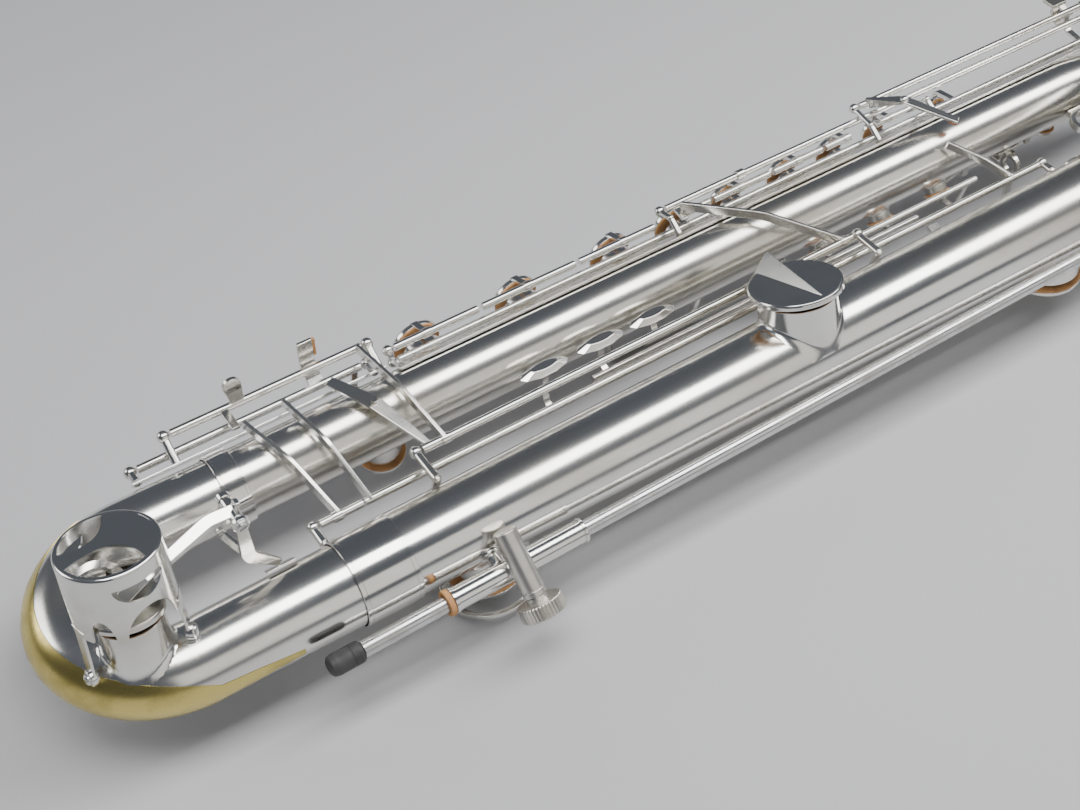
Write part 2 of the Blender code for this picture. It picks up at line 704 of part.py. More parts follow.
def build_low_c_sharp_key():
    x, angle, height, radius = BELL_KEYS["low_c_sharp"]
    hinge = Vector(C_SHARP_HINGE)
    solids = [rod((38.0, hinge.y, hinge.z), (300.0, hinge.y, hinge.z), HINGE_R, segments=8)]
    solids.append(cup(x, BELL_Y, angle, height + 0.5, radius, 16))
    top = on_tube(x, BELL_Y, angle, height + CUP_THICK)
    arm = [Vector((x, hinge.y, hinge.z)), Vector((x, hinge.y - 10, hinge.z - 17)), top + Vector((0, 8, -1))]
    solids += bars(arm, 7.0, 3.2, up=(1, 0, 0))
    solids.append(bar(Vector((290.0, hinge.y, hinge.z)), Vector((290.0, hinge.y + 14, hinge.z - 2)), 6.0, 3.0))
    piece("low_c_sharp_key", "plated_metal", solids, origin=hinge, turn=(hinge, (1, 0, 0), C_SHARP_OPEN))


# ---- posts: ball heads with legs on ribs ------------------------------------------------
def ball_post(x, y, z, foot, facing=(1, 0, 0), leg_r=2.6):
    head = Vector((x, y, z))
    foot = Vector(foot)
    return [ball(head, BALL_R, facing), rod(head, foot, leg_r, leg_r * 1.15, segments=6)]


def rib(x0, x1, centre_y, angle, distance, width=9.0, thick=1.8):
    p0 = on_tube(x0, centre_y, angle, distance)
    p1 = on_tube(x1, centre_y, angle, distance)
    return bar(p0, p1, width, thick, up=radial(angle))


def build_bell_posts():
    """Posts between the tubes that carry hinges A and B, on a rib along the bell tube."""
    solids = [bar(on_tube(-26.0, BELL_Y, 0, 32.4), on_tube(629.5, BELL_Y, 0, 36.6), 8.0, 1.8, up=radial(0))]
    for x, head in ((57.5, HINGE_A), (437.5, HINGE_A), (-23.8, HINGE_B), (625.6, HINGE_B)):
        base = bell_radius(x) + 5.0
        foot = on_tube(x, BELL_Y, math.degrees(math.asin(head[1] / base)), base)
        solids += ball_post(x, head[0], head[1], foot, (1, 0, 0), 3.0)
        solids += bars([foot, on_tube(x, BELL_Y, 0, base)], 6.0, 2.4, up=foot - Vector((x, BELL_Y, 0)))
        solids.append(ball(foot, 2.8, segments=6))
    base = bell_radius(505.0) + 4.0
    solids.append(bar(on_tube(505.0, BELL_Y, 0, base), (505.0, -11.2, 1.5), 4.0, 9.0, up=(1, 0, 0)))
    hinge = C_SHARP_HINGE
    for x in (33.0, 305.0):
        base = on_tube(x, BELL_Y, -28.0, bell_radius(x) + 4.6)
        solids += ball_post(x, hinge.y, hinge.z, base, (1, 0, 0), 2.6)
        solids += bars([base, on_tube(x, BELL_Y, 0, bell_radius(x) + 4.6)], 6.0, 2.4, up=radial(-14.0))
        solids.append(ball(base, 3.0, segments=8))
    piece("bell_posts", "plated_metal", solids)


def build_body_posts():
    """Posts on a rib along the upper far side of the body tube, for the long rods."""
    angle = 60.0
    distance = BODY_R + 1.7
    solids = [rib(84.0, 778.0, BODY_Y, angle, distance)]
    base = on_tube(0, BODY_Y, angle, distance + 1.4)
    heads = {87.0: (ROD_2, ROD_3), 324.0: (ROD_1,), 519.0: (ROD_4,), 578.0: (ROD_2,), 773.0: (ROD_4, ROD_1, ROD_3)}
    for x, lines in heads.items():
        for line in lines:
            solids.append(ball(Vector((x, *line)), BALL_R - 0.4, (1, 0, 0)))
        for line, inner in zip(lines, lines[1:]):
            solids.append(bar((x, *line), (x, *inner), 4.0, 4.0, up=(1, 0, 0)))
        outer = Vector((x, *lines[0]))
        knee = Vector((x, 80.0, 31.0)) if len(lines) == 1 else Vector((x, 76.0, 20.0))
        if len(lines) > 1:
            outer = Vector((x, *lines[-1]))
        foot = Vector((x, base.y, base.z))
        solids.append(rod(outer, knee, 2.2, segments=6))
        solids.append(rod(knee, foot, 2.2, 2.6, segments=6))
        solids.append(ball(knee, 2.6, segments=6))
    piece("body_posts", "plated_metal", solids)


# ---- keys on the body tube ----------------------------------------------------------------
def build_stack_keys():
    """Main stack: each key is a hinge tube on the middle rod, an arm and a cup."""
    for name, x, radius, start, end in STACK:
        hinge = Vector((0.0, *ROD_2))
        solids = [rod((start, *ROD_2), (end, *ROD_2), HINGE_R, segments=8)]
        solids.append(cup(x, BODY_Y, STACK_ANGLE, STACK_HEIGHT + 0.5, radius, 12))
        top = on_tube(x, BODY_Y, STACK_ANGLE, STACK_HEIGHT + CUP_THICK)
        arm_x = min(max(x, start + 3), end - 3)
        rise = Vector((arm_x, top.y + 1.5, 12.0))
        solids.append(bar(Vector((arm_x, *ROD_2)), rise, 3.0, 5.0, up=(1, 0, 0)))
        solids.append(bar(rise + Vector((0, 0, 1)), top + Vector((0, 0.5, 0)), 3.0, 6.0, 3.0, 4.0, up=(1, 0, 0)))
        turn = (hinge, (1, 0, 0), STACK_OPEN)
        piece(name, "plated_metal", solids, origin=hinge, turn=turn)


def build_table_rods():
    """Left hand table: two long rods, each with a finger for a bell key and a touch."""
    line = ROD_1
    solids = [rod((329.0, *line), (768.0, *line), HINGE_R - 0.2, segments=8)]
    solids.append(rod((396.0, *line), (403.0, *line), HINGE_R + 1.2, segments=10))
    solids.append(bar((338.0, line[0], line[1] - 1.5), (338.0, 79.0, 24.0), 2.4, 6.0, up=(1, 0, 0)))
    solids += bars([Vector((744.0, *line)), Vector((744.0, 104.0, 30.0)), Vector((744.0, 106.0, 46.0))], 2.4, 6.0,
                   up=(1, 0, 0))
    solids.append(bar((734.0, 106.0, 46.0), (750.0, 106.0, 46.0), 12.0, 3.0))
    piece("table_b_rod", "plated_metal", solids, origin=(0, *line))
    line = ROD_4
    solids = [rod((524.0, *line), (768.0, *line), HINGE_R - 0.2, segments=8)]
    crown = Vector((549.0, 78.0, 44.0))
    tip = Vector((576.0, 43.5, 34.5))
    solids.append(bar((532.0, *line), crown, 3.0, 9.0, 9.0, 2.4))
    solids.append(bar(crown, tip, 9.0, 2.4, 7.0, 2.4))
    solids.append(ball(crown, 3.6))
    solids += bars([Vector((754.0, *line)), Vector((754.0, 117.0, 40.0)), Vector((754.0, 121.0, 46.0))], 2.4, 6.0,
                   up=(1, 0, 0))
    solids.append(bar((744.0, 124.0, 46.0), (765.0, 124.0, 46.0), 13.0, 3.0))
    piece("table_b_flat_rod", "plated_metal", solids, origin=(0, *line))


LOW_END_A = (96.0, 27.0)                # (y, z) of the upper rod of the low end group
LOW_END_B = (91.5, 13.5)


def build_low_end_posts():
    """Four ball posts on the bow's body leg and the body tube, for the little finger touches."""
    solids = []
    rib_angle = 33.0
    distance = BODY_R + 4.2
    base = on_tube(0, BODY_Y, rib_angle, distance)
    solids.append(rib(-108.0, 80.0, BODY_Y, rib_angle, distance, 9.0, 1.8))
    for x, line in ((-76.0, LOW_END_A), (76.0, LOW_END_A), (-104.0, LOW_END_B), (72.0, LOW_END_B)):
        solids += ball_post(x, line[0], line[1], (x, base.y, base.z), (1, 0, 0), 2.8)
    piece("low_end_posts", "plated_metal", solids)


def upright_touch(x, line, lean):
    """Upright touch plate with a rounded top, standing on its hinge tube."""
    base = Vector((x, line[0], line[1] + 1.0))
    top = base + Vector((lean, 0, 17.0))
    plate = bar(base, top, 9.0, 3.0, 13.0, 3.0, up=(0, 1, 0))
    crown = rod(top - Vector((0, 1.5, 0)), top + Vector((0, 1.5, 0)), 6.5, segments=14)
    return [plate, crown]


def build_low_end_keys():
    solids = [rod((-71.0, *LOW_END_A), (71.0, *LOW_END_A), HINGE_R, segments=8)]
    solids += upright_touch(-22.0, LOW_END_A, -2.0)
    solids.append(bar((-33.0, *LOW_END_A), (-33.0, 76.0, 27.0), 6.0, 3.0))
    piece("low_c_touch", "plated_metal", solids, origin=(0, *LOW_END_A))
    x = E_FLAT_X
    solids = [rod((-99.0, *LOW_END_B), (67.0, *LOW_END_B), HINGE_R, segments=8)]
    top = on_tube(x, BODY_Y, E_FLAT_ANGLE, E_FLAT_HEIGHT + CUP_THICK)
    solids.append(cup(x, BODY_Y, E_FLAT_ANGLE, E_FLAT_HEIGHT + 0.5, E_FLAT_R, 12))
    arm = [Vector((x, *LOW_END_B)), Vector((x, 96.0, -12.0)), Vector((x, 88.0, -46.0)), top]
    solids += bars(arm, 3.2, 5.0, up=(1, 0, 0))
    solids += bars([Vector((34.0, *LOW_END_B)), Vector((34.0, 104.5, 22.0)), Vector((34.0, 104.5, 46.0))], 2.6, 11.0,
                   up=(1, 0, 0))
    piece("key_e_flat", "plated_metal", solids, origin=(0, *LOW_END_B))


def build_g_sharp_key():
    """G sharp key: the longest rod, a closed cup and a touch beside the left hand table."""
    line = ROD_3
    solids = [rod((92.0, *line), (768.0, *line), HINGE_R - 0.2, segments=8)]
    x = G_SHARP_X
    top = on_tube(x, BODY_Y, STACK_ANGLE, STACK_HEIGHT + CUP_THICK)
    solids.append(cup(x, BODY_Y, STACK_ANGLE, STACK_HEIGHT + 0.5, G_SHARP_R, 12))
    solids += bars([Vector((x, *line)), Vector((x, 102.0, 12.0)), top], 2.6, 5.0, up=(1, 0, 0))
    route = [Vector((764.0, *line)), Vector((764.0, 84.0, 9.0)), Vector((764.0, 104.0, 12.0)),
             Vector((764.0, 107.0, 26.0))]
    solids += bars(route, 2.4, 6.0, up=(1, 0, 0))
    solids.append(bar((752.0, 109.0, 27.0), (767.0, 109.0, 27.0), 13.0, 3.0))
    piece("g_sharp_key", "plated_metal", solids, origin=(0, *line))


def build_side_keys():
    """Right hand side keys: smooth oval touches between the tubes, long rods, small cups."""
    for name, x, radius, touch_x, line in SIDE:
        hinge = Vector((0.0, *line))
        solids = [rod((touch_x - 12, *line), (x + 10, *line), 2.4, segments=8)]
        top = on_tube(x, BODY_Y, SIDE_ANGLE, SIDE_HEIGHT + CUP_THICK)
        solids.append(cup(x, BODY_Y, SIDE_ANGLE, SIDE_HEIGHT + 0.5, radius, 10))
        solids += bars([hinge + Vector((x, 0, 0)), Vector((x, 15.0, -26.0)), top], 2.4, 5.0, up=(1, 0, 0))
        touch = Vector((touch_x, 17.5, 15.5))
        route = [hinge + Vector((touch_x, 0, 0)), Vector((touch_x, 15.5, line[1] + 3.0)), touch]
        solids += bars(route, 2.4, 5.0, up=(1, 0, 0))
        oval = []
        for k in range(10):
            angle = 2 * math.pi * k / 10
            rim = Vector((20.0 * math.cos(angle), 6.8 * math.sin(angle), 0))
            oval.append(touch + rim)
            oval.append(touch + rim * 0.55 + Vector((0, 0, 4.0)))
        solids.append(hull(oval))
        piece(name, "plated_metal", solids, origin=hinge)


def build_palm_keys():
    """Palm keys: short levers lying along the tube, a cup at one end and a touch at the other."""
    for name, x, angle, radius in PALM:
        height = PALM_HEIGHT + 0.5
        up = radial(angle)
        pivot = on_tube(x - 26, BODY_Y, angle, body_radius(x - 26) + 6.6)
        across = Vector((1, 0, 0)).cross(up)
        solids = [rod(pivot - across * 6, pivot + across * 6, 2.8, segments=10)]
        solids.append(cup(x, BODY_Y, angle, height, radius, 10))
        top = on_tube(x, BODY_Y, angle, height + CUP_THICK)
        solids += bars([pivot, pivot + up * 4.0, top], 5.0, 3.0, up=up.cross(Vector((1, 0, 0))))
        touch = pivot + Vector((-19, 0, 0)) + up * 9.0
        solids.append(bar(pivot, touch + Vector((5, 0, 0)), 6.0, 3.0, up=up))
        solids.append(bar(touch - Vector((12, 0, 0)), touch + Vector((9, 0, 0)), 14.0, 3.0, up=up))
        piece(name, "plated_metal", solids, origin=pivot)


def palm_saddles():
    """Soldered saddles that carry the palm keys' pivots, with an ear at each end."""
    solids = []
    for _, x, angle, _ in PALM:
        up = radial(angle)
        across = Vector((1, 0, 0)).cross(up)
        centre = on_tube(x - 26, BODY_Y, angle, body_radius(x - 26) - 0.4)
        pivot = on_tube(x - 26, BODY_Y, angle, body_radius(x - 26) + 6.6)
        solids.append(bar(centre - across * 8.6, centre + across * 8.6, 7.0, 3.4, up=up))
        for sign in (-1, 1):
            ear = pivot + across * sign * 7.6
            solids.append(bar(centre + across * sign * 7.6, ear + up * 2.5, 6.0, 2.0, up=across))
    return solids


# ---- the floor peg -----------------------------------------------------------------------------
PEG_AXIS = Vector((1.0, PEG_SLOPE, 0.0)).normalized()


def peg_point(x):
    return Vector((0.0, PEG_Y, PEG_Z)) + PEG_AXIS * (x / PEG_AXIS.x)


BARREL_TOP = Vector((70.0, -86.5, 20.0))        # upper end of the peg clamp's barrel
KNOB_CENTRE = Vector((73.0, -125.0, -20.0))
GUIDE_X = 611.0                                 # middle of the guide near the peg's inner end


def build_peg():
    near, far = peg_point(24.0), peg_point(124.0)
    shell = swept_tube([near, far], [PEG_SLEEVE_R] * 2, PEG_SLEEVE_R - PEG_R - GAP, 16)
    barrel_axis = (KNOB_CENTRE - BARREL_TOP).normalized()
    barrel_end = KNOB_CENTRE - barrel_axis * 9.6
    foot = on_tube(62.0, BELL_Y, 188.0, bell_radius(62.0) + 0.5)
    solids = [shell, rod(BARREL_TOP, barrel_end, 8.0, segments=14)]
    solids.append(rod(foot, on_tube(62.0, BELL_Y, 188.0, bell_radius(62.0) + 7.5), 4.6, segments=12))
    bore = rod(near - PEG_AXIS * 5, far + PEG_AXIS * 5, PEG_R + GAP, segments=16)
    tunnel = rod(barrel_end - barrel_axis * 12, barrel_end + barrel_axis, 4.1, segments=12)
    piece("peg_sleeve", "plated_metal", solids, [bore, tunnel])
    collar = swept_tube([peg_point(19.6), peg_point(23.6)], [PEG_SLEEVE_R + 1.0] * 2,
                        PEG_SLEEVE_R + 1.0 - PEG_R - GAP, 16)
    piece("peg_end_ring", "pad_leather", [collar])
    profile = [(-10.0, 3.6), (0.5, 3.6), (0.5, 7.6), (4.4, 7.6), (4.4, 14.8), (5.2, 15.6), (14.0, 15.6), (14.8, 14.8)]
    knob_start = barrel_end
    piece("peg_knob", "polished_metal", [turned(knob_start, barrel_axis, profile, 20)], origin=knob_start)
    rod_start = peg_point(PEG_TIP_X + 12)
    piece("peg_rod", "steel", [rod(rod_start, peg_point(PEG_END_X), PEG_R, segments=14)], origin=rod_start)
    tip_start = rod_start - PEG_AXIS * GAP
    profile = [(0, 6.6), (2, 7.4), (18, 7.4), (23, 5.6)]
    piece("peg_tip", "black_rubber", [turned(tip_start, -PEG_AXIS, profile, 16)], origin=tip_start)
    guide = rod(peg_point(GUIDE_X - 7), peg_point(GUIDE_X + 7), PEG_R + 2.6, segments=14)
    reach = bell_radius(GUIDE_X) + 1.3
    plate = bar(on_tube(GUIDE_X - 10, BELL_Y, 192.0, reach), on_tube(GUIDE_X + 10, BELL_Y, 192.0, reach),
                22.0, 2.6, up=radial(192.0))
    bore = rod(peg_point(GUIDE_X - 16), peg_point(GUIDE_X + 19), PEG_R + GAP, segments=14)
    tube = rod((GUIDE_X - 21, BELL_Y, 0), (GUIDE_X + 24, BELL_Y, 0), bell_radius(GUIDE_X + 24) + 0.35, segments=36)
    piece("peg_guide", "plated_metal", [guide, plate], [bore, tube])


# ---- upper bow, neck and mouthpiece ----------------------------------------------------------------
def upper_bow_path():
    top = BODY_END + GAP
    bend = (BODY_Y - NECK_Y) / 2
    points = [Vector((top, BODY_Y, 0)), Vector((top + 30, BODY_Y, 0))]
    turn_x = top + 42
    points += arc_points((turn_x, NECK_Y + bend, 0), bend, bend, 90, -90, 5)
    small = NECK_Z / 2
    for i in range(1, 5):
        angle = math.radians(270 - 180 * i / 5)
        points.append(Vector((turn_x + small * math.cos(angle), NECK_Y, small + small * math.sin(angle))))
    points.append(Vector((turn_x, NECK_Y, NECK_Z)))
    points.append(Vector((RECEIVER_X, NECK_Y, NECK_Z)))
    return points


def tapered(path, first, last):
    total = sum((b - a).length for a, b in zip(path, path[1:]))
    radii = []
    run = 0.0
    for i, point in enumerate(path):
        if i:
            run += (point - path[i - 1]).length
        radii.append(first + (last - first) * run / total)
    return radii


def build_upper_bow():
    path = upper_bow_path()
    shell = swept_tube(path, tapered(path, BODY_TOP_R, 13.4), WALL, 12)
    collar = pipe_ring((BODY_END + 1.0, BODY_Y, 0), (1, 0, 0), 9.0, BODY_TOP_R - 0.8, BODY_TOP_R + 2.4, 14)
    brace = rod((BODY_END + 24, BODY_Y - 15.5, 0), (BODY_END + 40, NECK_Y + 14.0, 0), 2.6, segments=8)
    piece("upper_bow", "plated_metal", [shell, collar, brace])
    solids = [pipe_ring((RECEIVER_X - 9, NECK_Y, NECK_Z), (1, 0, 0), 32.0, 13.9, 17.0, 18)]
    for sign in (-1, 1):
        centre = Vector((RECEIVER_X + 10, NECK_Y + sign * 4.2, NECK_Z + 20.5))
        solids.append(bar(centre - Vector((6, 0, 0)), centre + Vector((6, 0, 0)), 4.4, 11.0))
    slot = bar((RECEIVER_X + 2, NECK_Y, NECK_Z + 20.0), (RECEIVER_X + 30, NECK_Y, NECK_Z + 20.0), 2.0, 16.0)
    hole = rod((RECEIVER_X + 10, NECK_Y - 12, NECK_Z + 22), (RECEIVER_X + 10, NECK_Y + 12, NECK_Z + 22), 2.5,
               segments=10)
    piece("neck_socket", "polished_metal", solids, [slot, hole])
    start = Vector((RECEIVER_X + 10, NECK_Y - 8.4, NECK_Z + 22))
    screw = [turned(start, (0, 1, 0), [(0, 2.1), (15.2, 2.1), (15.2, 4.0), (19.5, 4.0)], 10)]
    wing = start + Vector((0, 22.0, 0))
    screw.append(bar(wing - Vector((7, 0, 0)), wing + Vector((7, 0, 0)), 8.0, 2.6))
    piece("neck_screw", "steel", screw, origin=start)


def neck_path():
    start = Vector((RECEIVER_X + 0.5, NECK_Y, NECK_Z))
    bend = 34.0
    turn_x = RECEIVER_X + 36.0
    points = [start]
    for i in range(7):
        angle = math.radians(-90 + 98 * i / 6)
        points.append(Vector((turn_x + bend * math.cos(angle), NECK_Y + bend + bend * math.sin(angle), NECK_Z)))
    along = (points[-1] - points[-2]).normalized()
    points.append(points[-1] + along * 74.0)
    return points


def build_neck():
    path = neck_path()
    shell = swept_tube(path, tapered(path, 13.4, 8.6), WALL, 12)
    piece("neck", "plated_metal", [shell])
    end = path[-1]
    along = (path[-1] - path[-2]).normalized()
    start = end - along * 30.0
    cork = swept_tube([start, end - along * 0.5], [11.3, 10.3], 1.1, 16)
    piece("neck_cork", "cork", [cork])
    mouth = end - along * 16.0
    mouth_profile = swept_tube([mouth, mouth + along * 34, mouth + along * 70], [14.2, 14.0, 12.6], 2.7, 18)
    beak_end = mouth + along * 96
    side = Vector((along.y, -along.x, 0))
    lip = [beak_end + side * s * 8.5 + Vector((0, 0, -11.9 + 2.0 * t)) for s in (-1, 1) for t in (0, 1)]
    ring = []
    for k in range(16):
        angle = 2 * math.pi * k / 16
        ring.append(mouth + along * 69.0 + side * 12.4 * math.cos(angle) + Vector((0, 0, 12.4 * math.sin(angle))))
    window = bar(mouth + along * 60 + Vector((0, 0, -12)), mouth + along * 93 + Vector((0, 0, -12)), 9.5, 14.0)
    table = bar(mouth + along * 20 + Vector((0, 0, -20)), mouth + along * 120 + Vector((0, 0, -20)), 60.0, 16.0)
    piece("mouthpiece", "hard_rubber", [mouth_profile, hull(ring + lip)], [window, table])
    low = Vector((0, 0, -1))
    reed = [mouth + along * 24 + low * 13.8, beak_end - along * 1.0 + low * 12.8]
    piece("reed", "cane", [bar(reed[0], reed[1], 15.0, 2.6, 17.0, 0.6)])
    lig = swept_tube([mouth + along * 30, mouth + along * 56], [18.4, 18.2], 1.2, 18)
    piece("ligature", "polished_metal", [lig])
    head = mouth + along * 43.0 + side * 19.0 + low * 4
    profile = [(0, 1.6), (4.0, 1.6), (4.0, 4.4), (8.0, 4.4)]
    piece("ligature_screw", "steel", [turned(head, side, profile, 10)], origin=head)
    pivot = path[1] + Vector((4, 0, 18.0))
    lever = [pivot, pivot + Vector((24.0, 14.0, 1.0)), pivot + Vector((34.0, 36.0, -0.5))]
    solids = bars(lever, 5.0, 2.4)
    solids.append(rod(pivot + Vector((0, -6, -1)), pivot + Vector((0, 6, -1)), 2.4, segments=8))
    solids.append(rod(lever[-1] + Vector((0, 0, 1)), lever[-1] + Vector((0, 0, -5.0)), 3.8, segments=10))
    piece("neck_octave_key", "plated_metal", solids, origin=pivot)


# ---- braces, guards, hooks ---------------------------------------------------------------------------
def build_braces():
    x = 700.0
    bell_edge = BELL_Y + flare_radius(x + 8) + 0.8
    body_edge = BODY_Y - BODY_R - 0.8
    centre = Vector((x, (bell_edge + body_edge) / 2, 0))
    ring = pipe_ring(centre - Vector((0, 0, 3)), (0, 0, 1), 6.0, 11.0, 15.0, 16)
    arms = [bar((x, bell_edge, 0), centre - Vector((0, 13.0, 0)), 14.0, 5.0),
            bar(centre + Vector((0, 13.0, 0)), (x, body_edge, 0), 14.0, 5.0)]
    piece("body_bell_brace", "plated_metal", [ring] + arms)


def under_guard(name, x, centre_y, angle, tube_r, height, radius):
    """Ring guard over an underside key, on two legs along the tube, with flat feet."""
    axis = radial(angle)
    start = on_tube(x, centre_y, angle, height - 3.0)
    solids = [pipe_ring(start, axis, 3.0, radius - 4.0, radius, 18)]
    solids.append(bar(start + Vector((radius - 2, 0, 0)) + axis * 1.5, start - Vector((radius - 2, 0, 0)) + axis * 1.5,
                      4.0, 3.0, up=axis))
    for sign in (-1, 1):
        out = Vector((sign * (radius - 2.0), 0, 0))
        foot = on_tube(x, centre_y, angle, tube_r + 1.6) + out
        solids.append(bar(start + axis * 1.0 + out, foot, 3.0, 6.0, up=(1, 0, 0)))
        solids.append(bar(foot - Vector((6, 0, 0)), foot + Vector((6, 0, 0)), 9.0, 1.8, up=axis))
    piece(name, "plated_metal", solids)


def build_guards():
    under_guard("low_c_sharp_guard", 70.0, BELL_Y, -99.0, bell_radius(110.0), 62.0, 33.0)
    points = [Vector((252.0, 62.0, -26.6)), Vector((262.0, 64.0, -67.6)), Vector((338.0, 64.0, -70.0)),
              Vector((348.0, 62.0, -26.6))]
    solids = [rod(a, b, 3.2, segments=10) for a, b in zip(points, points[1:])]
    solids += [ball(point, 3.3, segments=10) for point in points[1:-1]]
    for point in (points[0], points[-1]):
        solids.append(bar(point - Vector((9, 0, 0)), point + Vector((9, 0, 0)), 12.0, 1.8, up=radial(-75.0)))
    piece("leg_guard", "plated_metal", solids)


def build_low_b_pad():
    """Leather pad in the low B cup; it stands proud of the cup's rim."""
    x, angle, height, radius = BELL_KEYS["low_b"]
    hinge = Vector((0, *HINGE_A))
    disc = turned(on_tube(x, BELL_Y, angle, height + 0.3), radial(angle), [(0, radius - 3.2), (2.7, radius - 2.9)], 20)
    piece("low_b_pad", "pad_leather", [disc], origin=hinge, turn=(hinge, (1, 0, 0), -LOW_B_OPEN))


OCTAVE_X = 601.0                        # pivot of the octave key
OCTAVE_ANGLE = -96.0


def build_octave_key():
    """Thumb plate and arm of the octave key, on a short saddle under the body tube."""
    up = radial(OCTAVE_ANGLE)
    pivot = on_tube(OCTAVE_X, BODY_Y, OCTAVE_ANGLE, BODY_R + 6.6)
    across = Vector((1, 0, 0)).cross(up)
    solids = [rod(pivot - across * 6, pivot + across * 6, 2.6, segments=10)]
    plate = pivot + Vector((-26, 0, 0)) + up * 6.0
    solids.append(bar(pivot, plate + Vector((8, 0, 0)), 6.0, 2.6, up=up))
    solids.append(turned(plate - up * 1.3, up, [(0, 10.5), (2.6, 10.5)], 16))
    tip = pivot + Vector((24, 0, 0)) + up * 4.2
    solids.append(bar(pivot, tip, 6.0, 2.6, 4.5, 2.6, up=up))
    solids.append(turned(tip - up * 4.6, up, [(0, 4.0), (5.0, 4.0)], 12))
    piece("octave_thumb_key", "plated_metal", solids, origin=pivot)


def octave_saddle():
    """Ears for the octave key's pivot and the pip that its pad covers."""
    angle = OCTAVE_ANGLE
    up = radial(angle)
    across = Vector((1, 0, 0)).cross(up)
    centre = on_tube(OCTAVE_X, BODY_Y, angle, BODY_R - 0.4)
    solids = [bar(centre - across * 8.6, centre + across * 8.6, 7.0, 3.4, up=up)]
    for sign in (-1, 1):
        ear = on_tube(OCTAVE_X, BODY_Y, angle, BODY_R + 9.1) + across * sign * 7.6
        solids.append(bar(centre + across * sign * 7.6, ear, 6.0, 2.0, up=across))
    pip = on_tube(OCTAVE_X + 24, BODY_Y, angle, BODY_R - 1.0)
    solids.append(turned(pip, up, [(0, 3.4), (6.5, 3.0)], 10))
    return solids


def build_fittings():
    x = 640.0
    ring = pipe_ring(on_tube(x, BODY_Y, -128.0, BODY_R + 14) - Vector((2, 0, 0)), (1, 0, 0), 4.0, 6.0, 9.5, 18)
    base = on_tube(x, BODY_Y, -128.0, BODY_R + 1.3)
    foot = bar(base - Vector((12, 0, 0)), base + Vector((12, 0, 0)), 9.0, 1.8, up=radial(-128.0))
    stem = bar(base, on_tube(x, BODY_Y, -128.0, BODY_R + 6.5), 4.0, 6.0, up=(1, 0, 0))
    piece("strap_ring", "plated_metal", [ring, foot, stem])
    x = 392.0
    base = on_tube(x, BODY_Y, -118.0, BODY_R + 1.3)
    out = radial(-118.0)
    across = Vector((1, 0, 0)).cross(out)
    foot = bar(base - Vector((14, 0, 0)), base + Vector((14, 0, 0)), 12.0, 1.8, up=out)
    hook = bars([base + Vector((-8, 0, 0)), base + out * 10 + Vector((-8, 0, 0)),
                 base + out * 20 + Vector((2, 0, 0)), base + out * 22 + Vector((20, 0, 0))], 3.0, 16.0, up=across)
    piece("thumb_hook", "plated_metal", [foot] + hook)


def make_parent():
    parent = bpy.data.objects.new("lay", None)
    bpy.context.scene.collection.objects.link(parent)
    rim, sharp, flat = SUPPORTS
    normal = (sharp - rim).cross(flat - rim).normalized()
    if normal.z < 0:
        normal = -normal
    level = normal.rotation_difference(Vector((0, 0, 1))).to_matrix().to_4x4()
    parent.matrix_world = Matrix.Translation(LAY_SHIFT) @ level
    return parent


def main():
    clear_objects()
    make_parent()
    build_body_tube()
    build_bell()
    build_bow()
    build_bow_plate()
    build_low_c_guard()
    build_low_c_key()
    build_low_c_post()
    build_low_b_key()
    build_bridge_lever()
    build_low_b_flat_key()
    build_low_c_link()
    build_low_c_sharp_key()
    build_bell_posts()
    build_body_posts()
    build_stack_keys()
    build_table_rods()
    build_low_end_posts()
    build_low_end_keys()
    build_g_sharp_key()
    build_side_keys()
    build_palm_keys()
    build_peg()
    build_upper_bow()
    build_neck()
    build_braces()
    build_guards()
    build_low_b_pad()
    build_octave_key()
    build_fittings()


main()
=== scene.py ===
"""Finished look of the baritone saxophone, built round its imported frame.

Lengths are in millimetres in the horn's own frame (+X from the bow to the upper bow,
the bell tube at -Y, the body tube at +Y, +Z up); LAY takes them to the row frame in metres.
"""
import json
from math import asin, cos, degrees, pi, radians, sin, sqrt

import bmesh
import bpy
from mathutils import Matrix, Vector


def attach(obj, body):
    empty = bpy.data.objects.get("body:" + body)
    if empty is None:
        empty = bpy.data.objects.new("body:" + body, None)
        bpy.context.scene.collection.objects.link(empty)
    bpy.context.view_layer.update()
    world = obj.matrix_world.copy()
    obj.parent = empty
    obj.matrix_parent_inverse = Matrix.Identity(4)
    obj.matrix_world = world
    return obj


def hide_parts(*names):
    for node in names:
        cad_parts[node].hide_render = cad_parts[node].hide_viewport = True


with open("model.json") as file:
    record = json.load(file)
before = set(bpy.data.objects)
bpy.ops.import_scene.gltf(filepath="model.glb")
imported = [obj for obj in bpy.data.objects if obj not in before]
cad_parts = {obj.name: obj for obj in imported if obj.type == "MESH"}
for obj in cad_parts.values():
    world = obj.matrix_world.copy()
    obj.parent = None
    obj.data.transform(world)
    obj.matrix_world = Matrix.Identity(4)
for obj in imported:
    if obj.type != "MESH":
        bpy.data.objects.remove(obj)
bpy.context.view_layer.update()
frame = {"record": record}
BODY_OF = {node: body for body, nodes in frame["record"]["behaviour"]["bodies"].items() for node in nodes}

X, Y, Z = (Vector(axis).freeze() for axis in ((1, 0, 0), (0, 1, 0), (0, 0, 1)))


def V(*parts):
    """Point or direction in the horn's own frame."""
    return Vector(parts)


MM = 0.001
SOFT = 0.35  # edges are rounded by this much
FINE = 4  # round pieces have this many sides for each one in the CAD part

# ---- driving dimensions (mm) ----
TUBE_SPACING = 110  # between the axes of the bell tube and the body tube
BELL_Y = -TUBE_SPACING / 2
BODY_Y = TUBE_SPACING / 2
WALL = 1.4
GAP = 0.4  # clearance between pieces that touch

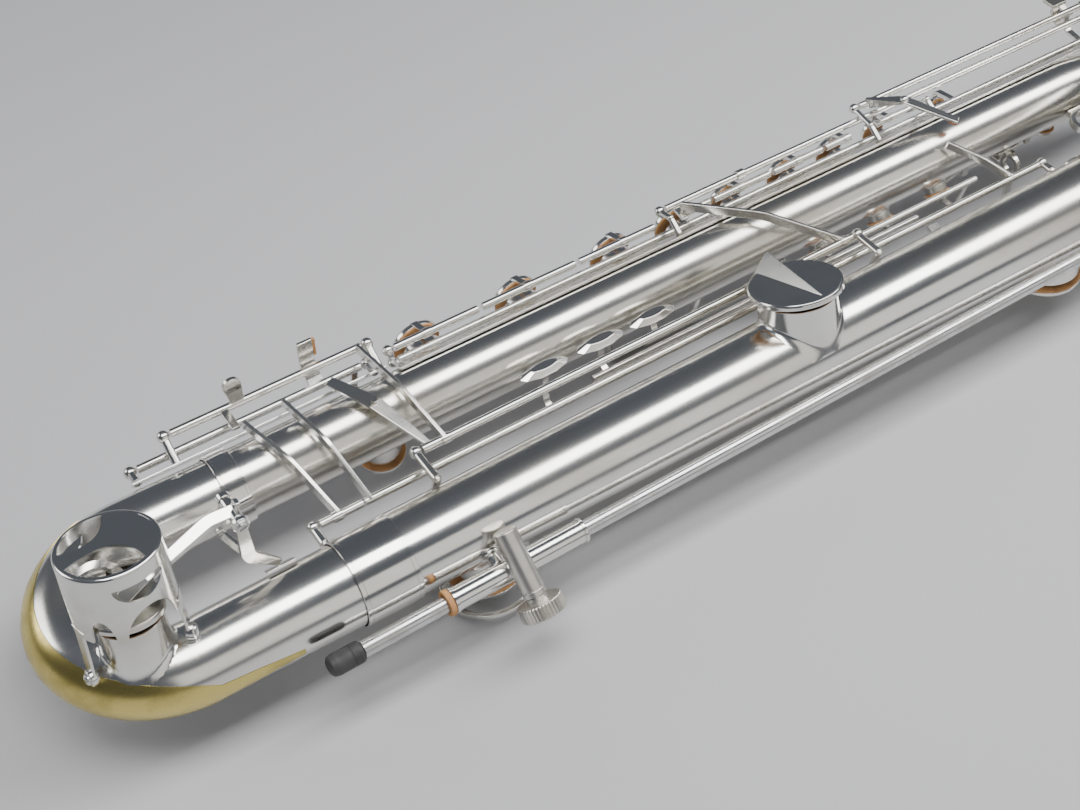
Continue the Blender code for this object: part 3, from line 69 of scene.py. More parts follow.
BELL_R0 = 28  # bell tube radius at x = 0
BELL_TAPER = 0.007  # growth of that radius for each mm of x
BELL_START = -7
BELL_TUBE_END = 632
RIM_X = 745
RIM_R = 80
RIM_ROLL = 3  # radius of the rolled bead round the rim

BODY_R = 24.3
BODY_START = -54
BODY_CONE_START = 700
BODY_END = 790
BODY_TOP_R = 17

BOW_CENTRE_X = -124  # centre of the bow's bend
BOW_BULGE = 1.13  # the bend reaches this much further than a half circle
PLATE_THICK = 0.9

CUP_THICK = 5
CUP_LIFT = 0.5  # gap between a closed cup and its chimney
PIVOT_REACH = 6.6  # from the body tube's wall to a pivot across it
PALM_BACK = 26  # from a palm key's cup back to its pivot
CHIMNEY_LEAN = 73  # degrees from +Y towards +Z, bell keys on top

HINGE_R = 2.9  # outer radius of the hinge tubes
BALL_R = 4.4  # ball heads of the posts
LEVER_THICK = 2
LEVER_HEIGHT = 6.5
LEVER_EXTRA = 0.8  # the finer levers are this much fuller than the CAD levers

PEG_Y = -97
PEG_Z = -8
PEG_SLOPE = 0.006  # the peg leans towards the bell tube
PEG_R = 5.5
PEG_SLEEVE_R = 7.9
PEG_TIP_X = -52
PEG_END_X = 624

NECK_Y = -21
NECK_Z = 50
RECEIVER_X = 872  # end of the upper bow inside the neck socket

ROD_1 = (93.5, 27.5)  # (y, z) of the long rods beside the body tube
ROD_2 = (87, 21.5)
ROD_3 = (80.5, 15.5)
ROD_4 = (100.5, 34)
HINGE_A = (0, 18)  # (y, z) of the low B key's hinge
HINGE_B = (-7, 4)  # (y, z) of the low B flat key's hinge

# How the horn lies: on three points, then the shift (m) that puts its box on the origin.
SUPPORTS = (  # points of the horn that touch the surface (mm)
    V(745, -63.62, -82.05),  # bell rim
    V(70, -32.11, -66.40),  # guard under the low C sharp key
    V(338, 64, -73.14),  # leg guard under the body tube
)
LAY_SHIFT = V(-0.377063, -0.016169, 0.0649)


def bell_radius(x):
    return BELL_R0 + BELL_TAPER * x


def body_radius(x):
    if x <= BODY_CONE_START:
        return BODY_R
    share = (x - BODY_CONE_START) / (BODY_END - BODY_CONE_START)
    smooth = share * share * (3 - 2 * share)
    return BODY_R + (BODY_TOP_R - BODY_R) * smooth


def flare_radius(x):
    share = (x - BELL_TUBE_END) / (RIM_X - BELL_TUBE_END)
    base = bell_radius(x)
    return base + (RIM_R - bell_radius(RIM_X)) * share ** 2.7


def radial(angle_deg):
    """Unit vector across the tubes, from +Y towards +Z."""
    angle = radians(angle_deg)
    return V(0, cos(angle), sin(angle))


def on_tube(x, centre_y, angle_deg, distance):
    return V(x, centre_y, 0) + radial(angle_deg) * distance

# ---- solids: each returns (vertices, faces) in mm ----
def ring_frame(direction):
    direction = direction.normalized()
    helper = Z if abs(direction.z) < 0.9 else X
    side = direction.cross(helper).normalized()
    return side, direction.cross(side).normalized()


def loft(rings, closed_ends=True, looped=False):
    """Skin over rings of equal length; the first and last ring are capped, or joined to each other."""
    size = len(rings[0])
    verts = [point for ring in rings for point in ring]
    faces = []
    count = len(rings)
    for i in range(count if looped else count - 1):
        low, high = i * size, (i + 1) % count * size
        for k in range(size):
            n = (k + 1) % size
            faces.append((low + k, low + n, high + n, high + k))
    if closed_ends and not looped:
        faces.append(tuple(reversed(range(size))))
        faces.append(tuple((count - 1) * size + k for k in range(size)))
    return verts, faces


def bend_point(start, corner, end, t):
    """Point at t on the curve from start to end that leans towards corner."""
    return (1 - t) ** 2 * start + 2 * t * (1 - t) * corner + t * t * end


def rounded(profile, soft):
    """The profile of a turned solid with its corners eased."""
    line = [Vector(p) for p in [(profile[0][0], 0), *profile, (profile[-1][0], 0)]]
    eased = []
    for before, corner, after in zip(line, line[1:], line[2:]):
        reach = min(soft, 0.45 * (before - corner).length, 0.45 * (after - corner).length)
        start = corner + (before - corner).normalized() * reach
        end = corner + (after - corner).normalized() * reach
        eased += [tuple(bend_point(start, corner, end, t)) for t in (0, 0.33, 0.67, 1)]
    return eased


def circle_of(centre, side, other, radius, count):
    angles = [2 * pi * k / count for k in range(count)]
    return [centre + side * cos(a) * radius + other * sin(a) * radius for a in angles]


def turned(start, direction, profile, segments=12, soft=SOFT):
    """Solid of revolution: profile is (distance along, radius), radius > 0."""
    start, direction = Vector(start), Vector(direction).normalized()
    side, other = ring_frame(direction)
    if soft:
        profile = rounded(profile, soft)
    return loft([circle_of(start + direction * along, side, other, radius, segments * FINE)
                 for along, radius in profile])


def revolved(start, direction, outline, segments=24):
    """Ring whose section is a closed outline of (distance along, radius)."""
    start, direction = Vector(start), Vector(direction).normalized()
    side, other = ring_frame(direction)
    return loft([circle_of(start + direction * along, side, other, radius, segments * FINE)
                 for along, radius in outline], looped=True)


def rod(p0, p1, r0, r1=None, segments=8, soft=SOFT):
    p0, p1 = Vector(p0), Vector(p1)
    r1 = r0 if r1 is None else r1
    return turned(p0, p1 - p0, [(0, r0), ((p1 - p0).length, r1)], segments, soft)


def ball(centre, radius, direction=X, segments=8):
    latitudes = [radians(-87 + 174 * i / 16) for i in range(17)]
    profile = [(radius * sin(a), radius * cos(a)) for a in latitudes]
    return turned(centre, direction, profile, segments, soft=0)


def hull(points, soft=SOFT):
    """Convex solid round the points, with its edges eased."""
    mesh = bmesh.new()
    for point in points:
        mesh.verts.new(Vector(point))
    result = bmesh.ops.convex_hull(mesh, input=mesh.verts)
    loose = [v for v in result["geom_interior"] if isinstance(v, bmesh.types.BMVert)]
    bmesh.ops.delete(mesh, geom=loose, context="VERTS")
    bmesh.ops.dissolve_limit(mesh, angle_limit=radians(2), verts=mesh.verts, edges=mesh.edges)
    bmesh.ops.recalc_face_normals(mesh, faces=mesh.faces)
    if soft:
        creases = [e for e in mesh.edges if len(e.link_faces) == 2 and e.calc_face_angle() > radians(15)]
        bmesh.ops.bevel(mesh, geom=creases, offset=soft, segments=3, profile=0.5, affect="EDGES",
                        clamp_overlap=True)
    mesh.verts.index_update()
    verts = [v.co.copy() for v in mesh.verts]
    faces = [tuple(v.index for v in f.verts) for f in mesh.faces]
    mesh.free()
    return verts, faces


def section(width, height, soft):
    """Outline of a rectangle with rounded corners."""
    soft = min(soft, 0.45 * width, 0.45 * height)
    outline = []
    for a, b, start in ((1, 1, 0), (-1, 1, 90), (-1, -1, 180), (1, -1, 270)):
        for k in range(4):
            angle = radians(start + 30 * k)
            outline.append((a * (width / 2 - soft) + soft * cos(angle),
                            b * (height / 2 - soft) + soft * sin(angle)))
    return outline


def strap(points, sizes, up, soft=0.45, bend=6):
    """Bar with a rounded rectangular section through the points, bent smoothly at the inner ones."""
    points = [Vector(p) for p in points]
    first, last = (points[1] - points[0]).normalized(), (points[-1] - points[-2]).normalized()
    stations = [(points[0], sizes[0], soft), (points[0] + first * soft, sizes[0], 0)]
    for before, corner, after, size in zip(points, points[1:], points[2:], sizes[1:]):
        start = corner + (before - corner).normalized() * min(bend, 0.45 * (before - corner).length)
        end = corner + (after - corner).normalized() * min(bend, 0.45 * (after - corner).length)
        stations += [(bend_point(start, corner, end, k / 8), size, 0) for k in range(9)]
    stations += [(points[-1] - last * soft, sizes[-1], 0), (points[-1], sizes[-1], soft)]
    rings = []
    side = None
    for i, (centre, (width, height), inset) in enumerate(stations):
        along = (stations[min(i + 1, len(stations) - 1)][0] - stations[max(i - 1, 0)][0]).normalized()
        fresh = along.cross(Vector(up))
        if side is None or fresh.length > 0.1:
            fresh.normalize()
            side = -fresh if side is not None and fresh.dot(side) < 0 else fresh
        rise = side.cross(along).normalized()
        rings.append([centre + side * a + rise * b
                      for a, b in section(width - 2 * inset, height - 2 * inset, soft)])
    return loft(rings)


def bar(p0, p1, width0, height0, width1=None, height1=None, up=Z):
    width1 = width0 if width1 is None else width1
    height1 = height0 if height1 is None else height1
    return strap([p0, p1], [(width0, height0), (width1, height1)], up)


def bars(points, width, height, up=Z, bend=6):
    return [strap(points, [(width, height)] * len(points), up, bend=bend)]


def plank(centre, half, width, height, up=Z):
    """Bar along the tubes, with its middle at centre."""
    return bar(centre - X * half, centre + X * half, width, height, up=up)


def hinge_tube(x0, x1, line, radius=HINGE_R, segments=8):
    """Tube along the horn at line, which is (y, z)."""
    return rod((x0, *line), (x1, *line), radius, segments=segments)


def swept_tube(path, radii, wall, segments):
    """Hollow tube along a path, open at both ends, with flat rims."""
    side = ring_frame(path[1] - path[0])[0]
    frames = []
    for i, point in enumerate(path):
        along = (path[min(i + 1, len(path) - 1)] - path[max(i - 1, 0)]).normalized()
        side = (side - along * side.dot(along)).normalized()
        frames.append((point, side.copy(), along.cross(side)))
    outer = [circle_of(*f, radius, segments * FINE) for f, radius in zip(frames, radii)]
    inner = [circle_of(*f, radius - wall, segments * FINE) for f, radius in zip(frames, radii)]
    return loft(outer + inner[::-1], looped=True)


def pipe_ring(start, direction, length, inner, outer, segments=24, soft=SOFT):
    """Plain collar with eased edges."""
    soft = min(soft, 0.4 * (outer - inner), 0.4 * length)
    outline = [(length / 2 + a, (inner + outer) / 2 + b) for a, b in section(length, outer - inner, soft)]
    return revolved(start, direction, outline, segments)


def arc_points(centre, radius_x, radius_y, start_deg, end_deg, steps):
    angles = [radians(start_deg + (end_deg - start_deg) * i / steps) for i in range(steps + 1)]
    return [Vector(centre) + V(radius_x * cos(a), radius_y * sin(a), 0) for a in angles]


def straight_shell(start, end, steps, centre_y, radius_of, segments):
    xs = [start + (end - start) * i / steps for i in range(steps + 1)]
    return swept_tube([V(x, centre_y, 0) for x in xs], [radius_of(x) for x in xs], WALL, segments)


def tapered(path, first, last):
    """Radii that change evenly from first to last along the path."""
    steps = [(b - a).length for a, b in zip(path, path[1:])]
    total, run = sum(steps), 0
    radii = [first]
    for step in steps:
        run += step
        radii.append(first + (last - first) * (run / total))
    return radii


def prism(outline, low, high):
    """Straight block over a flat outline; low and high turn an outline point into a place."""
    return loft([[low(p) for p in outline], [high(p) for p in outline]])


def screw(centre, axis, radius, height=1.6, slot_turn=30):
    """Domed screw head with a slot, standing on centre."""
    axis = Vector(axis).normalized()
    side, other = ring_frame(axis)
    head = turned(centre, axis, [(-1, radius), (height * 0.6, radius), (height, radius * 0.72)], 8)
    angle = radians(slot_turn)
    line = (side * cos(angle) + other * sin(angle)) * radius * 1.3
    top = Vector(centre) + axis * (height + 0.2)
    return cut([head], [loft_bar(top - line, top + line, radius * 0.3, 1.5, axis)])


def loft_bar(p0, p1, width, height, up):
    """Sharp-edged bar, used as a cutter."""
    along = (p1 - p0).normalized()
    side = along.cross(Vector(up)).normalized()
    rise = side.cross(along)
    corners = ((-0.5, -0.5), (0.5, -0.5), (0.5, 0.5), (-0.5, 0.5))
    return loft([[p + side * width * a + rise * height * b for a, b in corners] for p in (p0, p1)])


# ---- Blender objects ----
def level():
    """Turns the horn so that its three points of support stand on the floor."""
    rim, sharp, flat = SUPPORTS
    normal = (sharp - rim).cross(flat - rim).normalized()
    normal = -normal if normal.z < 0 else normal
    return normal.rotation_difference(Z).to_matrix().to_4x4()


LAY = Matrix.Translation(LAY_SHIFT) @ level()


def mesh_of(name, solids):
    """One mesh of all the solids, in mm, with outward faces."""
    verts, faces = [], []
    for points, sides in solids:
        base = len(verts)
        verts += [tuple(p) for p in points]
        faces += [tuple(base + i for i in side) for side in sides]
    mesh = bpy.data.meshes.new(name)
    mesh.from_pydata(verts, [], faces)
    work = bmesh.new()
    work.from_mesh(mesh)
    bmesh.ops.recalc_face_normals(work, faces=work.faces)
    work.to_mesh(mesh)
    work.free()
    return mesh


def cut(solids, cutters):
    """The solids with the cutters taken away."""
    base, tool = (bpy.data.objects.new(n, mesh_of(n, s)) for n, s in (("base", solids), ("tool", cutters)))
    for obj in (base, tool):
        bpy.context.scene.collection.objects.link(obj)
    boolean = base.modifiers.new("cut", "BOOLEAN")
    boolean.operation, boolean.solver, boolean.object, boolean.use_self = "DIFFERENCE", "EXACT", tool, True
    evaluated = base.evaluated_get(bpy.context.evaluated_depsgraph_get())
    mesh = evaluated.to_mesh()
    solid = [v.co.copy() for v in mesh.vertices], [tuple(p.vertices) for p in mesh.polygons]
    evaluated.to_mesh_clear()
    for obj in (base, tool):
        bpy.data.objects.remove(obj, do_unlink=True)
    return solid


def piece(name, slot, solids, turn=None, body=None, finish=None):
    """One visible piece. It stands for the CAD node of its name, or is an extra piece on a body.

    turn is (axis point, axis, degrees) from the position it is drawn in to its place at rest.
    """
    mesh = mesh_of("v_" + name, solids)
    if turn:
        point, axis, degrees = turn
        spin = Matrix.Rotation(radians(degrees), 4, Vector(axis))
        mesh.transform(Matrix.Translation(point) @ spin @ Matrix.Translation(-Vector(point)))
    mesh.transform(LAY @ Matrix.Scale(MM, 4))
    mesh.shade_smooth()
    mesh.set_sharp_from_angle(angle=radians(42))
    obj = bpy.data.objects.new("v_" + name, mesh)
    bpy.context.scene.collection.objects.link(obj)
    weighted = obj.modifiers.new("weighted", "WEIGHTED_NORMAL")
    weighted.keep_sharp = True
    obj.data.materials.append(material(finish or slot))
    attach(obj, body or BODY_OF[name])
    if body is None:
        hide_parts(name)
    return obj


def plated(name, solids, turn=None):
    return piece(name, "plated_metal", solids, turn)


# ---- materials ----
# slot: light and dark tones that the surface drifts between, lowest and highest roughness, metallic,
# repeats per metre of the two patterns, relief, stretch of the patterns
FINISHES = {
    "plated_metal": ((0.8, 0.79, 0.76), (0.6, 0.57, 0.5), (0.13, 0.27), 1,
        (16, 900), 0.03, (0.25, 1, 1)),
    "polished_metal": ((0.86, 0.85, 0.83), (0.72, 0.7, 0.65), (0.07, 0.17), 1,
        (18, 700), 0.02, (0.4, 1, 1)),
    "satin_metal": ((0.7, 0.68, 0.63), (0.5, 0.47, 0.41), (0.3, 0.42), 1,
        (30, 1400), 0.05, (1, 1, 1)),
    "worn_brass": ((0.68, 0.56, 0.19), (0.42, 0.34, 0.1), (0.2, 0.36), 1,
        (26, 800), 0.05, (0.6, 1, 1)),
    "steel": ((0.66, 0.66, 0.66), (0.48, 0.47, 0.45), (0.2, 0.34), 1,
        (40, 1500), 0.05, (1, 1, 1)),
    "black_rubber": ((0.045, 0.045, 0.045), (0.02, 0.02, 0.02), (0.5, 0.7), 0,
        (60, 1800), 0.25, (1, 1, 1)),
    "hard_rubber": ((0.024, 0.022, 0.02), (0.012, 0.011, 0.01), (0.16, 0.28), 0,
        (30, 900), 0.04, (1, 1, 1)),
    "pad_leather": ((0.6, 0.31, 0.12), (0.36, 0.16, 0.06), (0.5, 0.72), 0,
        (90, 2600), 0.5, (1, 1, 1)),
    "red_cork": ((0.58, 0.2, 0.09), (0.34, 0.1, 0.05), (0.7, 0.9), 0,
        (300, 2200), 0.6, (1, 1, 1)),
    "cork": ((0.66, 0.46, 0.27), (0.36, 0.22, 0.12), (0.75, 0.95), 0,
        (420, 1800), 0.6, (1, 1, 1)),
    "cane": ((0.84, 0.7, 0.42), (0.66, 0.5, 0.26), (0.42, 0.6), 0,
        (500, 2400), 0.3, (1, 0.04, 1)),
}


def node(tree, kind, **inputs):
    made = tree.nodes.new(kind)
    for name, value in inputs.items():
        made.inputs[name.replace("_", " ")].default_value = value
    return made


def pattern(tree, stretch, scale, detail):
    """Noise in the object's own coordinates."""
    place = tree.nodes.new("ShaderNodeTexCoord")
    mapping = node(tree, "ShaderNodeMapping", Scale=stretch)
    noise = node(tree, "ShaderNodeTexNoise", Scale=scale, Detail=detail, Roughness=0.62)
    tree.links.new(place.outputs["Object"], mapping.inputs["Vector"])
    tree.links.new(mapping.outputs["Vector"], noise.inputs["Vector"])
    return noise.outputs["Fac"]


def between(tree, source, low, high, from_low=0.3, from_high=0.7):
    spread = node(tree, "ShaderNodeMapRange", From_Min=from_low, From_Max=from_high, To_Min=low, To_Max=high)
    tree.links.new(source, spread.inputs["Value"])
    return spread.outputs["Result"]


def material(slot):
    """Procedural finish: two tones that drift, roughness that wanders, and fine relief."""
    name = "look_" + slot
    if name in bpy.data.materials:
        return bpy.data.materials[name]
    light, dark, rough, metallic, repeats, relief, stretch = FINISHES[slot]
    made = bpy.data.materials.new(name)
    made.use_nodes = True
    tree = made.node_tree
    shader = tree.nodes["Principled BSDF"]
    shader.inputs["Metallic"].default_value = metallic
    drift = pattern(tree, stretch, repeats[0], 5)
    grain = pattern(tree, stretch, repeats[1], 3)
    tones = tree.nodes.new("ShaderNodeValToRGB")
    tones.color_ramp.elements[0].position = 0.30
    tones.color_ramp.elements[0].color = (*dark, 1)
    tones.color_ramp.elements[1].position = 0.56
    tones.color_ramp.elements[1].color = (*light, 1)
    tree.links.new(drift, tones.inputs["Fac"])
    tree.links.new(tones.outputs["Color"], shader.inputs["Base Color"])
    tree.links.new(between(tree, drift, rough[1], rough[0]), shader.inputs["Roughness"])
    bump = node(tree, "ShaderNodeBump", Strength=relief, Distance=0.0004)
    tree.links.new(grain, bump.inputs["Height"])
    tree.links.new(bump.outputs["Normal"], shader.inputs["Normal"])
    return made


STACK = (  # name, x, cup radius, hinge tube from, to
    ("key_d", 118, 19, 92, 160),
    ("key_e", 202, 18, 164, 243),
    ("key_f", 286, 17.5, 247, 314),
    ("key_f_sharp", 344, 15.5, 343, 366),
    ("key_g", 396, 15, 370, 424),
    ("key_a", 452, 14, 428, 476),
    ("key_b", 501, 12.5, 480, 505),
    ("key_c", 548, 10.5, 530, 573),
)
STACK_ANGLE = -7
STACK_HEIGHT = 41  # chimney top over the body tube's axis
STACK_OPEN = 13  # degrees that a stack key stands open

E_FLAT_X = 62  # cup under the body tube
E_FLAT_ANGLE = -78
E_FLAT_R = 19
E_FLAT_HEIGHT = 44
G_SHARP_X = 612
G_SHARP_R = 11

SIDE = (  # name, cup x, cup radius, touch x, rod (y, z)
    ("key_side_b_flat", 440, 11.5, 170, (9, -17)),
    ("key_side_c", 500, 11, 217, (8, -7)),
    ("key_high_e", 560, 10.5, 262, (9, 3)),
)
SIDE_ANGLE = -130
SIDE_HEIGHT = 31

PALM = (  # name, cup x, angle round the body tube, cup radius
    ("key_palm_d", 655, -62, 10.5),
    ("key_palm_e_flat", 700, -92, 10),
    ("key_palm_f", 745, -62, 9.5),
)
PALM_HEIGHT = 31

BELL_KEYS = {  # x, angle, chimney top over the axis, cup radius
    "low_b": (341, CHIMNEY_LEAN, 46.4, 33.6),
    "low_b_flat": (590, -95, 45, 33),
    "low_c_sharp": (70, -99, 38, 27.5),
}
CHIMNEY_STEP = 5.4  # a cup is this much wider in radius than its chimney


HINGE_C = (-14, -30)  # (y, z) of the low C sharp key's hinge
C_SHARP_OPEN = 8
LOW_END_A = (96, 27)  # (y, z) of the upper rod of the low end group
LOW_END_B = (91.5, 13.5)
GUIDE_X = 611  # middle of the peg's guide

screws = []  # (body, solid), joined into one piece for each body


# ---- the tubes ----
def bore_of(cup_radius):
    return cup_radius - CHIMNEY_STEP * min(1, cup_radius / 30) - WALL


def chimney(x, centre_y, angle, tube_radius, height, cup_radius, segments=20):
    """Tone hole drawn out of the tube: a soft skirt, a straight wall and a rounded lip."""
    inner = bore_of(cup_radius)
    outer = inner + WALL
    spread = min(4.5, 1 + 0.15 * outer)
    up, across = radial(angle), X.cross(radial(angle))
    centre = V(x, centre_y, 0)

    def ring(reach, lift, tube):
        """Ring of the wall; it follows the tube's surface unless tube is 0."""
        points = []
        for k in range(segments * FINE):
            turn = 2 * pi * k / (segments * FINE)
            aside = reach * sin(turn)
            base = 0
            if tube:
                aside = max(-0.97 * tube, min(0.97 * tube, aside))
                base = sqrt(tube ** 2 - aside ** 2)
            points.append(centre + V(reach * cos(turn), 0, 0) + across * aside + up * (base + lift))
        return points

    rings = [ring(outer + spread * (1 - sin(radians(u))), spread * (1 - cos(radians(u))) - 0.25, tube_radius)
             for u in range(0, 91, 15)]
    rings += [ring(reach, lift, 0) for reach, lift in (
        (outer, height - 0.6), (outer - 0.1, height - 0.2), (outer - 0.5, height),
        (inner + 0.5, height), (inner + 0.1, height - 0.2), (inner, height - 0.6))]
    return loft(rings + [ring(inner, -0.1, tube_radius - WALL)], looped=True)


def bore(x, centre_y, angle, height, cup_radius):
    """Cutter that opens the tube under a tone hole."""
    wide = bore_of(cup_radius) + 0.1
    return turned(on_tube(x, centre_y, angle, 3), radial(angle), [(0, wide), (height, wide)], 8, soft=0)


def tone_holes(centre_y, tube_radius, holes):
    """Chimneys and bores for (x, angle, height, cup radius) along one tube."""
    rims = [chimney(x, centre_y, angle, tube_radius(x), height, radius, 12 if radius < 25 else 24)
            for x, angle, height, radius in holes]
    return rims, [bore(x, centre_y, angle, height, radius) for x, angle, height, radius in holes]


def build_body_tube():
    shell = straight_shell(BODY_START, BODY_END, 60, BODY_Y, body_radius, 30)
    holes = [(x, STACK_ANGLE, STACK_HEIGHT, r) for _, x, r, _, _ in STACK]
    holes += [(G_SHARP_X, STACK_ANGLE, STACK_HEIGHT, G_SHARP_R),
              (E_FLAT_X, E_FLAT_ANGLE, E_FLAT_HEIGHT, E_FLAT_R)]
    holes += [(x, SIDE_ANGLE, SIDE_HEIGHT, r) for _, x, r, _, _ in SIDE]
    holes += [(x, a, PALM_HEIGHT, r) for _, x, a, r in PALM]
    rims, bores = tone_holes(BODY_Y, body_radius, holes)
    solids = [cut([shell], bores)] + rims
    for x, angle in [(x - PALM_BACK, a) for _, x, a, _ in PALM] + [(OCTAVE_X, OCTAVE_ANGLE)]:
        solids += saddle(x, angle)
    pip = on_tube(OCTAVE_X + 24, BODY_Y, OCTAVE_ANGLE, BODY_R - 1)
    plated("body_tube", solids + [turned(pip, radial(OCTAVE_ANGLE), [(0, 3.4), (6.5, 3)], 10)])


def build_bell():
    shell = straight_shell(BELL_START, BELL_TUBE_END, 40, BELL_Y, bell_radius, 32)
    rims, bores = tone_holes(BELL_Y, bell_radius, BELL_KEYS.values())
    plated("bell_tube", [cut([shell], bores)] + rims)
    flare = straight_shell(BELL_TUBE_END + GAP, RIM_X, 48, BELL_Y, flare_radius, 36)
    angles = [radians(a) for a in range(0, 360, 20)]
    bead = [(RIM_X + RIM_ROLL * sin(a), RIM_R - 0.5 + RIM_ROLL * cos(a)) for a in angles]
    x = BELL_TUBE_END + 1
    collar = banded_collar(x, BELL_Y, 9, bell_radius(x) - 0.8, bell_radius(x) + 2, (2, 7))
    piece("bell_flare", "polished_metal", [flare, revolved((0, BELL_Y, 0), X, bead, 36), collar])


def banded_collar(x, centre_y, length, inner, outer, grooves, depth=0.45):
    """Collar round a tube with engraved lines at the given distances along it."""
    outline = [(0, inner), (0, outer - 0.4), (0.15, outer - 0.1), (0.4, outer)]
    for at in grooves:
        outline += [(at - 0.45, outer), (at - 0.25, outer - depth),
                    (at + 0.25, outer - depth), (at + 0.45, outer)]
    outline += [(length - 0.4, outer), (length - 0.15, outer - 0.1), (length, outer - 0.4), (length, inner)]
    return revolved((x, centre_y, 0), X, outline, 32)


def bow_path(steps=72):
    """Centre line of the bow, from the bell side round to the body side."""
    points = [V(x, BELL_Y, 0) for x in (BELL_START - GAP, -40, -70, -100)]
    points += arc_points((BOW_CENTRE_X, 0, 0), BODY_Y * BOW_BULGE, BODY_Y, 270, 90, steps)
    points += [V(x, BODY_Y, 0) for x in (-100, -75, BODY_START - GAP)]
    return points


LOW_C_FOOT = V(-157, -47.5, 0)  # on the bow's centre line
LOW_C_AXIS = V(0.05, 0.225, 0.973).normalized()
LOW_C_CHIMNEY = 50
LOW_C_CUP_R = 25


def over_bow(height):
    """Place on the low C cup's axis."""
    return LOW_C_FOOT + LOW_C_AXIS * height


def build_bow():
    path = bow_path()
    shell = swept_tube(path, bow_radii(path), WALL, 32)
    outer = LOW_C_CUP_R - 4.5
    inner = outer - WALL
    wall = pipe_ring(over_bow(14), LOW_C_AXIS, LOW_C_CHIMNEY - 14, inner, outer, 24, 0.5)
    hole = turned(over_bow(4), LOW_C_AXIS, [(0, inner + 0.1), (46, inner + 0.1)], 12, 0)
    skirt = bow_skirt(outer, path, bow_radii(path))
    plated("bow", [cut([shell], [hole]), wall, skirt])
    radius = bell_radius(13)
    piece("bow_ferrule_bell", "polished_metal",
          [banded_collar(-27, BELL_Y, 40, radius + 0.5, radius + 1.5, (3, 36.5))])
    piece("bow_ferrule_body", "polished_metal",
          [banded_collar(BODY_START - 8, BODY_Y, 16, BODY_R + 0.9, BODY_R + 2.3, (2.5, 13.5))])


def bow_skirt(outer, path, radii):
    """Fillet between the low C chimney and the bow."""
    side, other = ring_frame(LOW_C_AXIS)
    rings = []
    for u in range(0, 91, 15):
        reach = outer + 5 * (1 - sin(radians(u)))
        lift = 5 * (1 - cos(radians(u)))
        ring = []
        for point in circle_of(LOW_C_FOOT, side, other, reach, 96):
            height = 60
            while height > 5 and min((point + LOW_C_AXIS * height - c).length - r
                                       for c, r in zip(path, radii)) > -0.2:
                height -= 0.5
            ring.append(point + LOW_C_AXIS * (height + lift))
        rings.append(ring)
    rings.append([p - (p - LOW_C_FOOT).normalized() * 0.4 for p in rings[-1]])
    rings.append([p - LOW_C_AXIS * 8 for p in rings[-1]])
    return loft(rings, looped=True)


def build_bow_plate():
    """Leaf-shaped plate of bare brass on the outer lower side of the bow, pointed at both ends."""
    path = bow_path(96)
    radii = bow_radii(path)
    rows = range(2, len(path) - 3)
    outer, inner = [], []
    columns = 28
    for i in rows:
        along = (path[i + 1] - path[i - 1]).normalized()
        outward = Z.cross(along).normalized()
        share = (i - rows[0]) / (rows[-1] - rows[0])
        leaf = sin(pi * (0.004 + 0.992 * share)) ** 0.42
        high, low = 72 * leaf - 12, -58 * leaf - 2
        line = []
        for c in range(columns + 1):
            angle = radians(low + (high - low) * c / columns)
            line.append((path[i], outward * cos(angle) + V(0, 0, sin(angle)), radii[i]))
        outer.append([p + d * (r + 0.35) for p, d, r in line])
        inner.append([p + d * (r - PLATE_THICK / 2) for p, d, r in line[::-1]])
    piece("bow_plate", "worn_brass", [loft([o + i for o, i in zip(outer, inner)])])


# ---- the low C key and its guard ----
GUARD_TOP = 104  # over the bow's centre line
GUARD_R = 31
GUARD_FEET = (245, 325, 100)  # angles round the cage
WALL_LOW = 56  # lower edge of the cage's wall


def leaf_window(start, end, control):
    """Outline in the cage's lid: a stretch of the rim closed by a curve that bends at control."""
    rim = GUARD_R - 3.4
    angles = [radians(start + (end - start) * i / 24) for i in range(25)]
    outline = [(rim * cos(a), rim * sin(a)) for a in angles]
    first, last, middle = Vector(outline[-1]), Vector(outline[0]), Vector(control) * GUARD_R
    return outline + [tuple(bend_point(first, middle, last, i / 16)) for i in range(1, 16)]


def half_moon(angle, spread, level, depth, steps=20):
    """Outline on the cage's wall, as (angle, height): flat at level and round below.

    With spread and depth negative it is round above, which makes an arch.
    """
    turns = [pi * i / steps for i in range(1, steps)]
    return [(angle - spread, level), (angle + spread, level)] + \
        [(angle + spread * cos(t), level - depth * sin(t)) for t in turns]


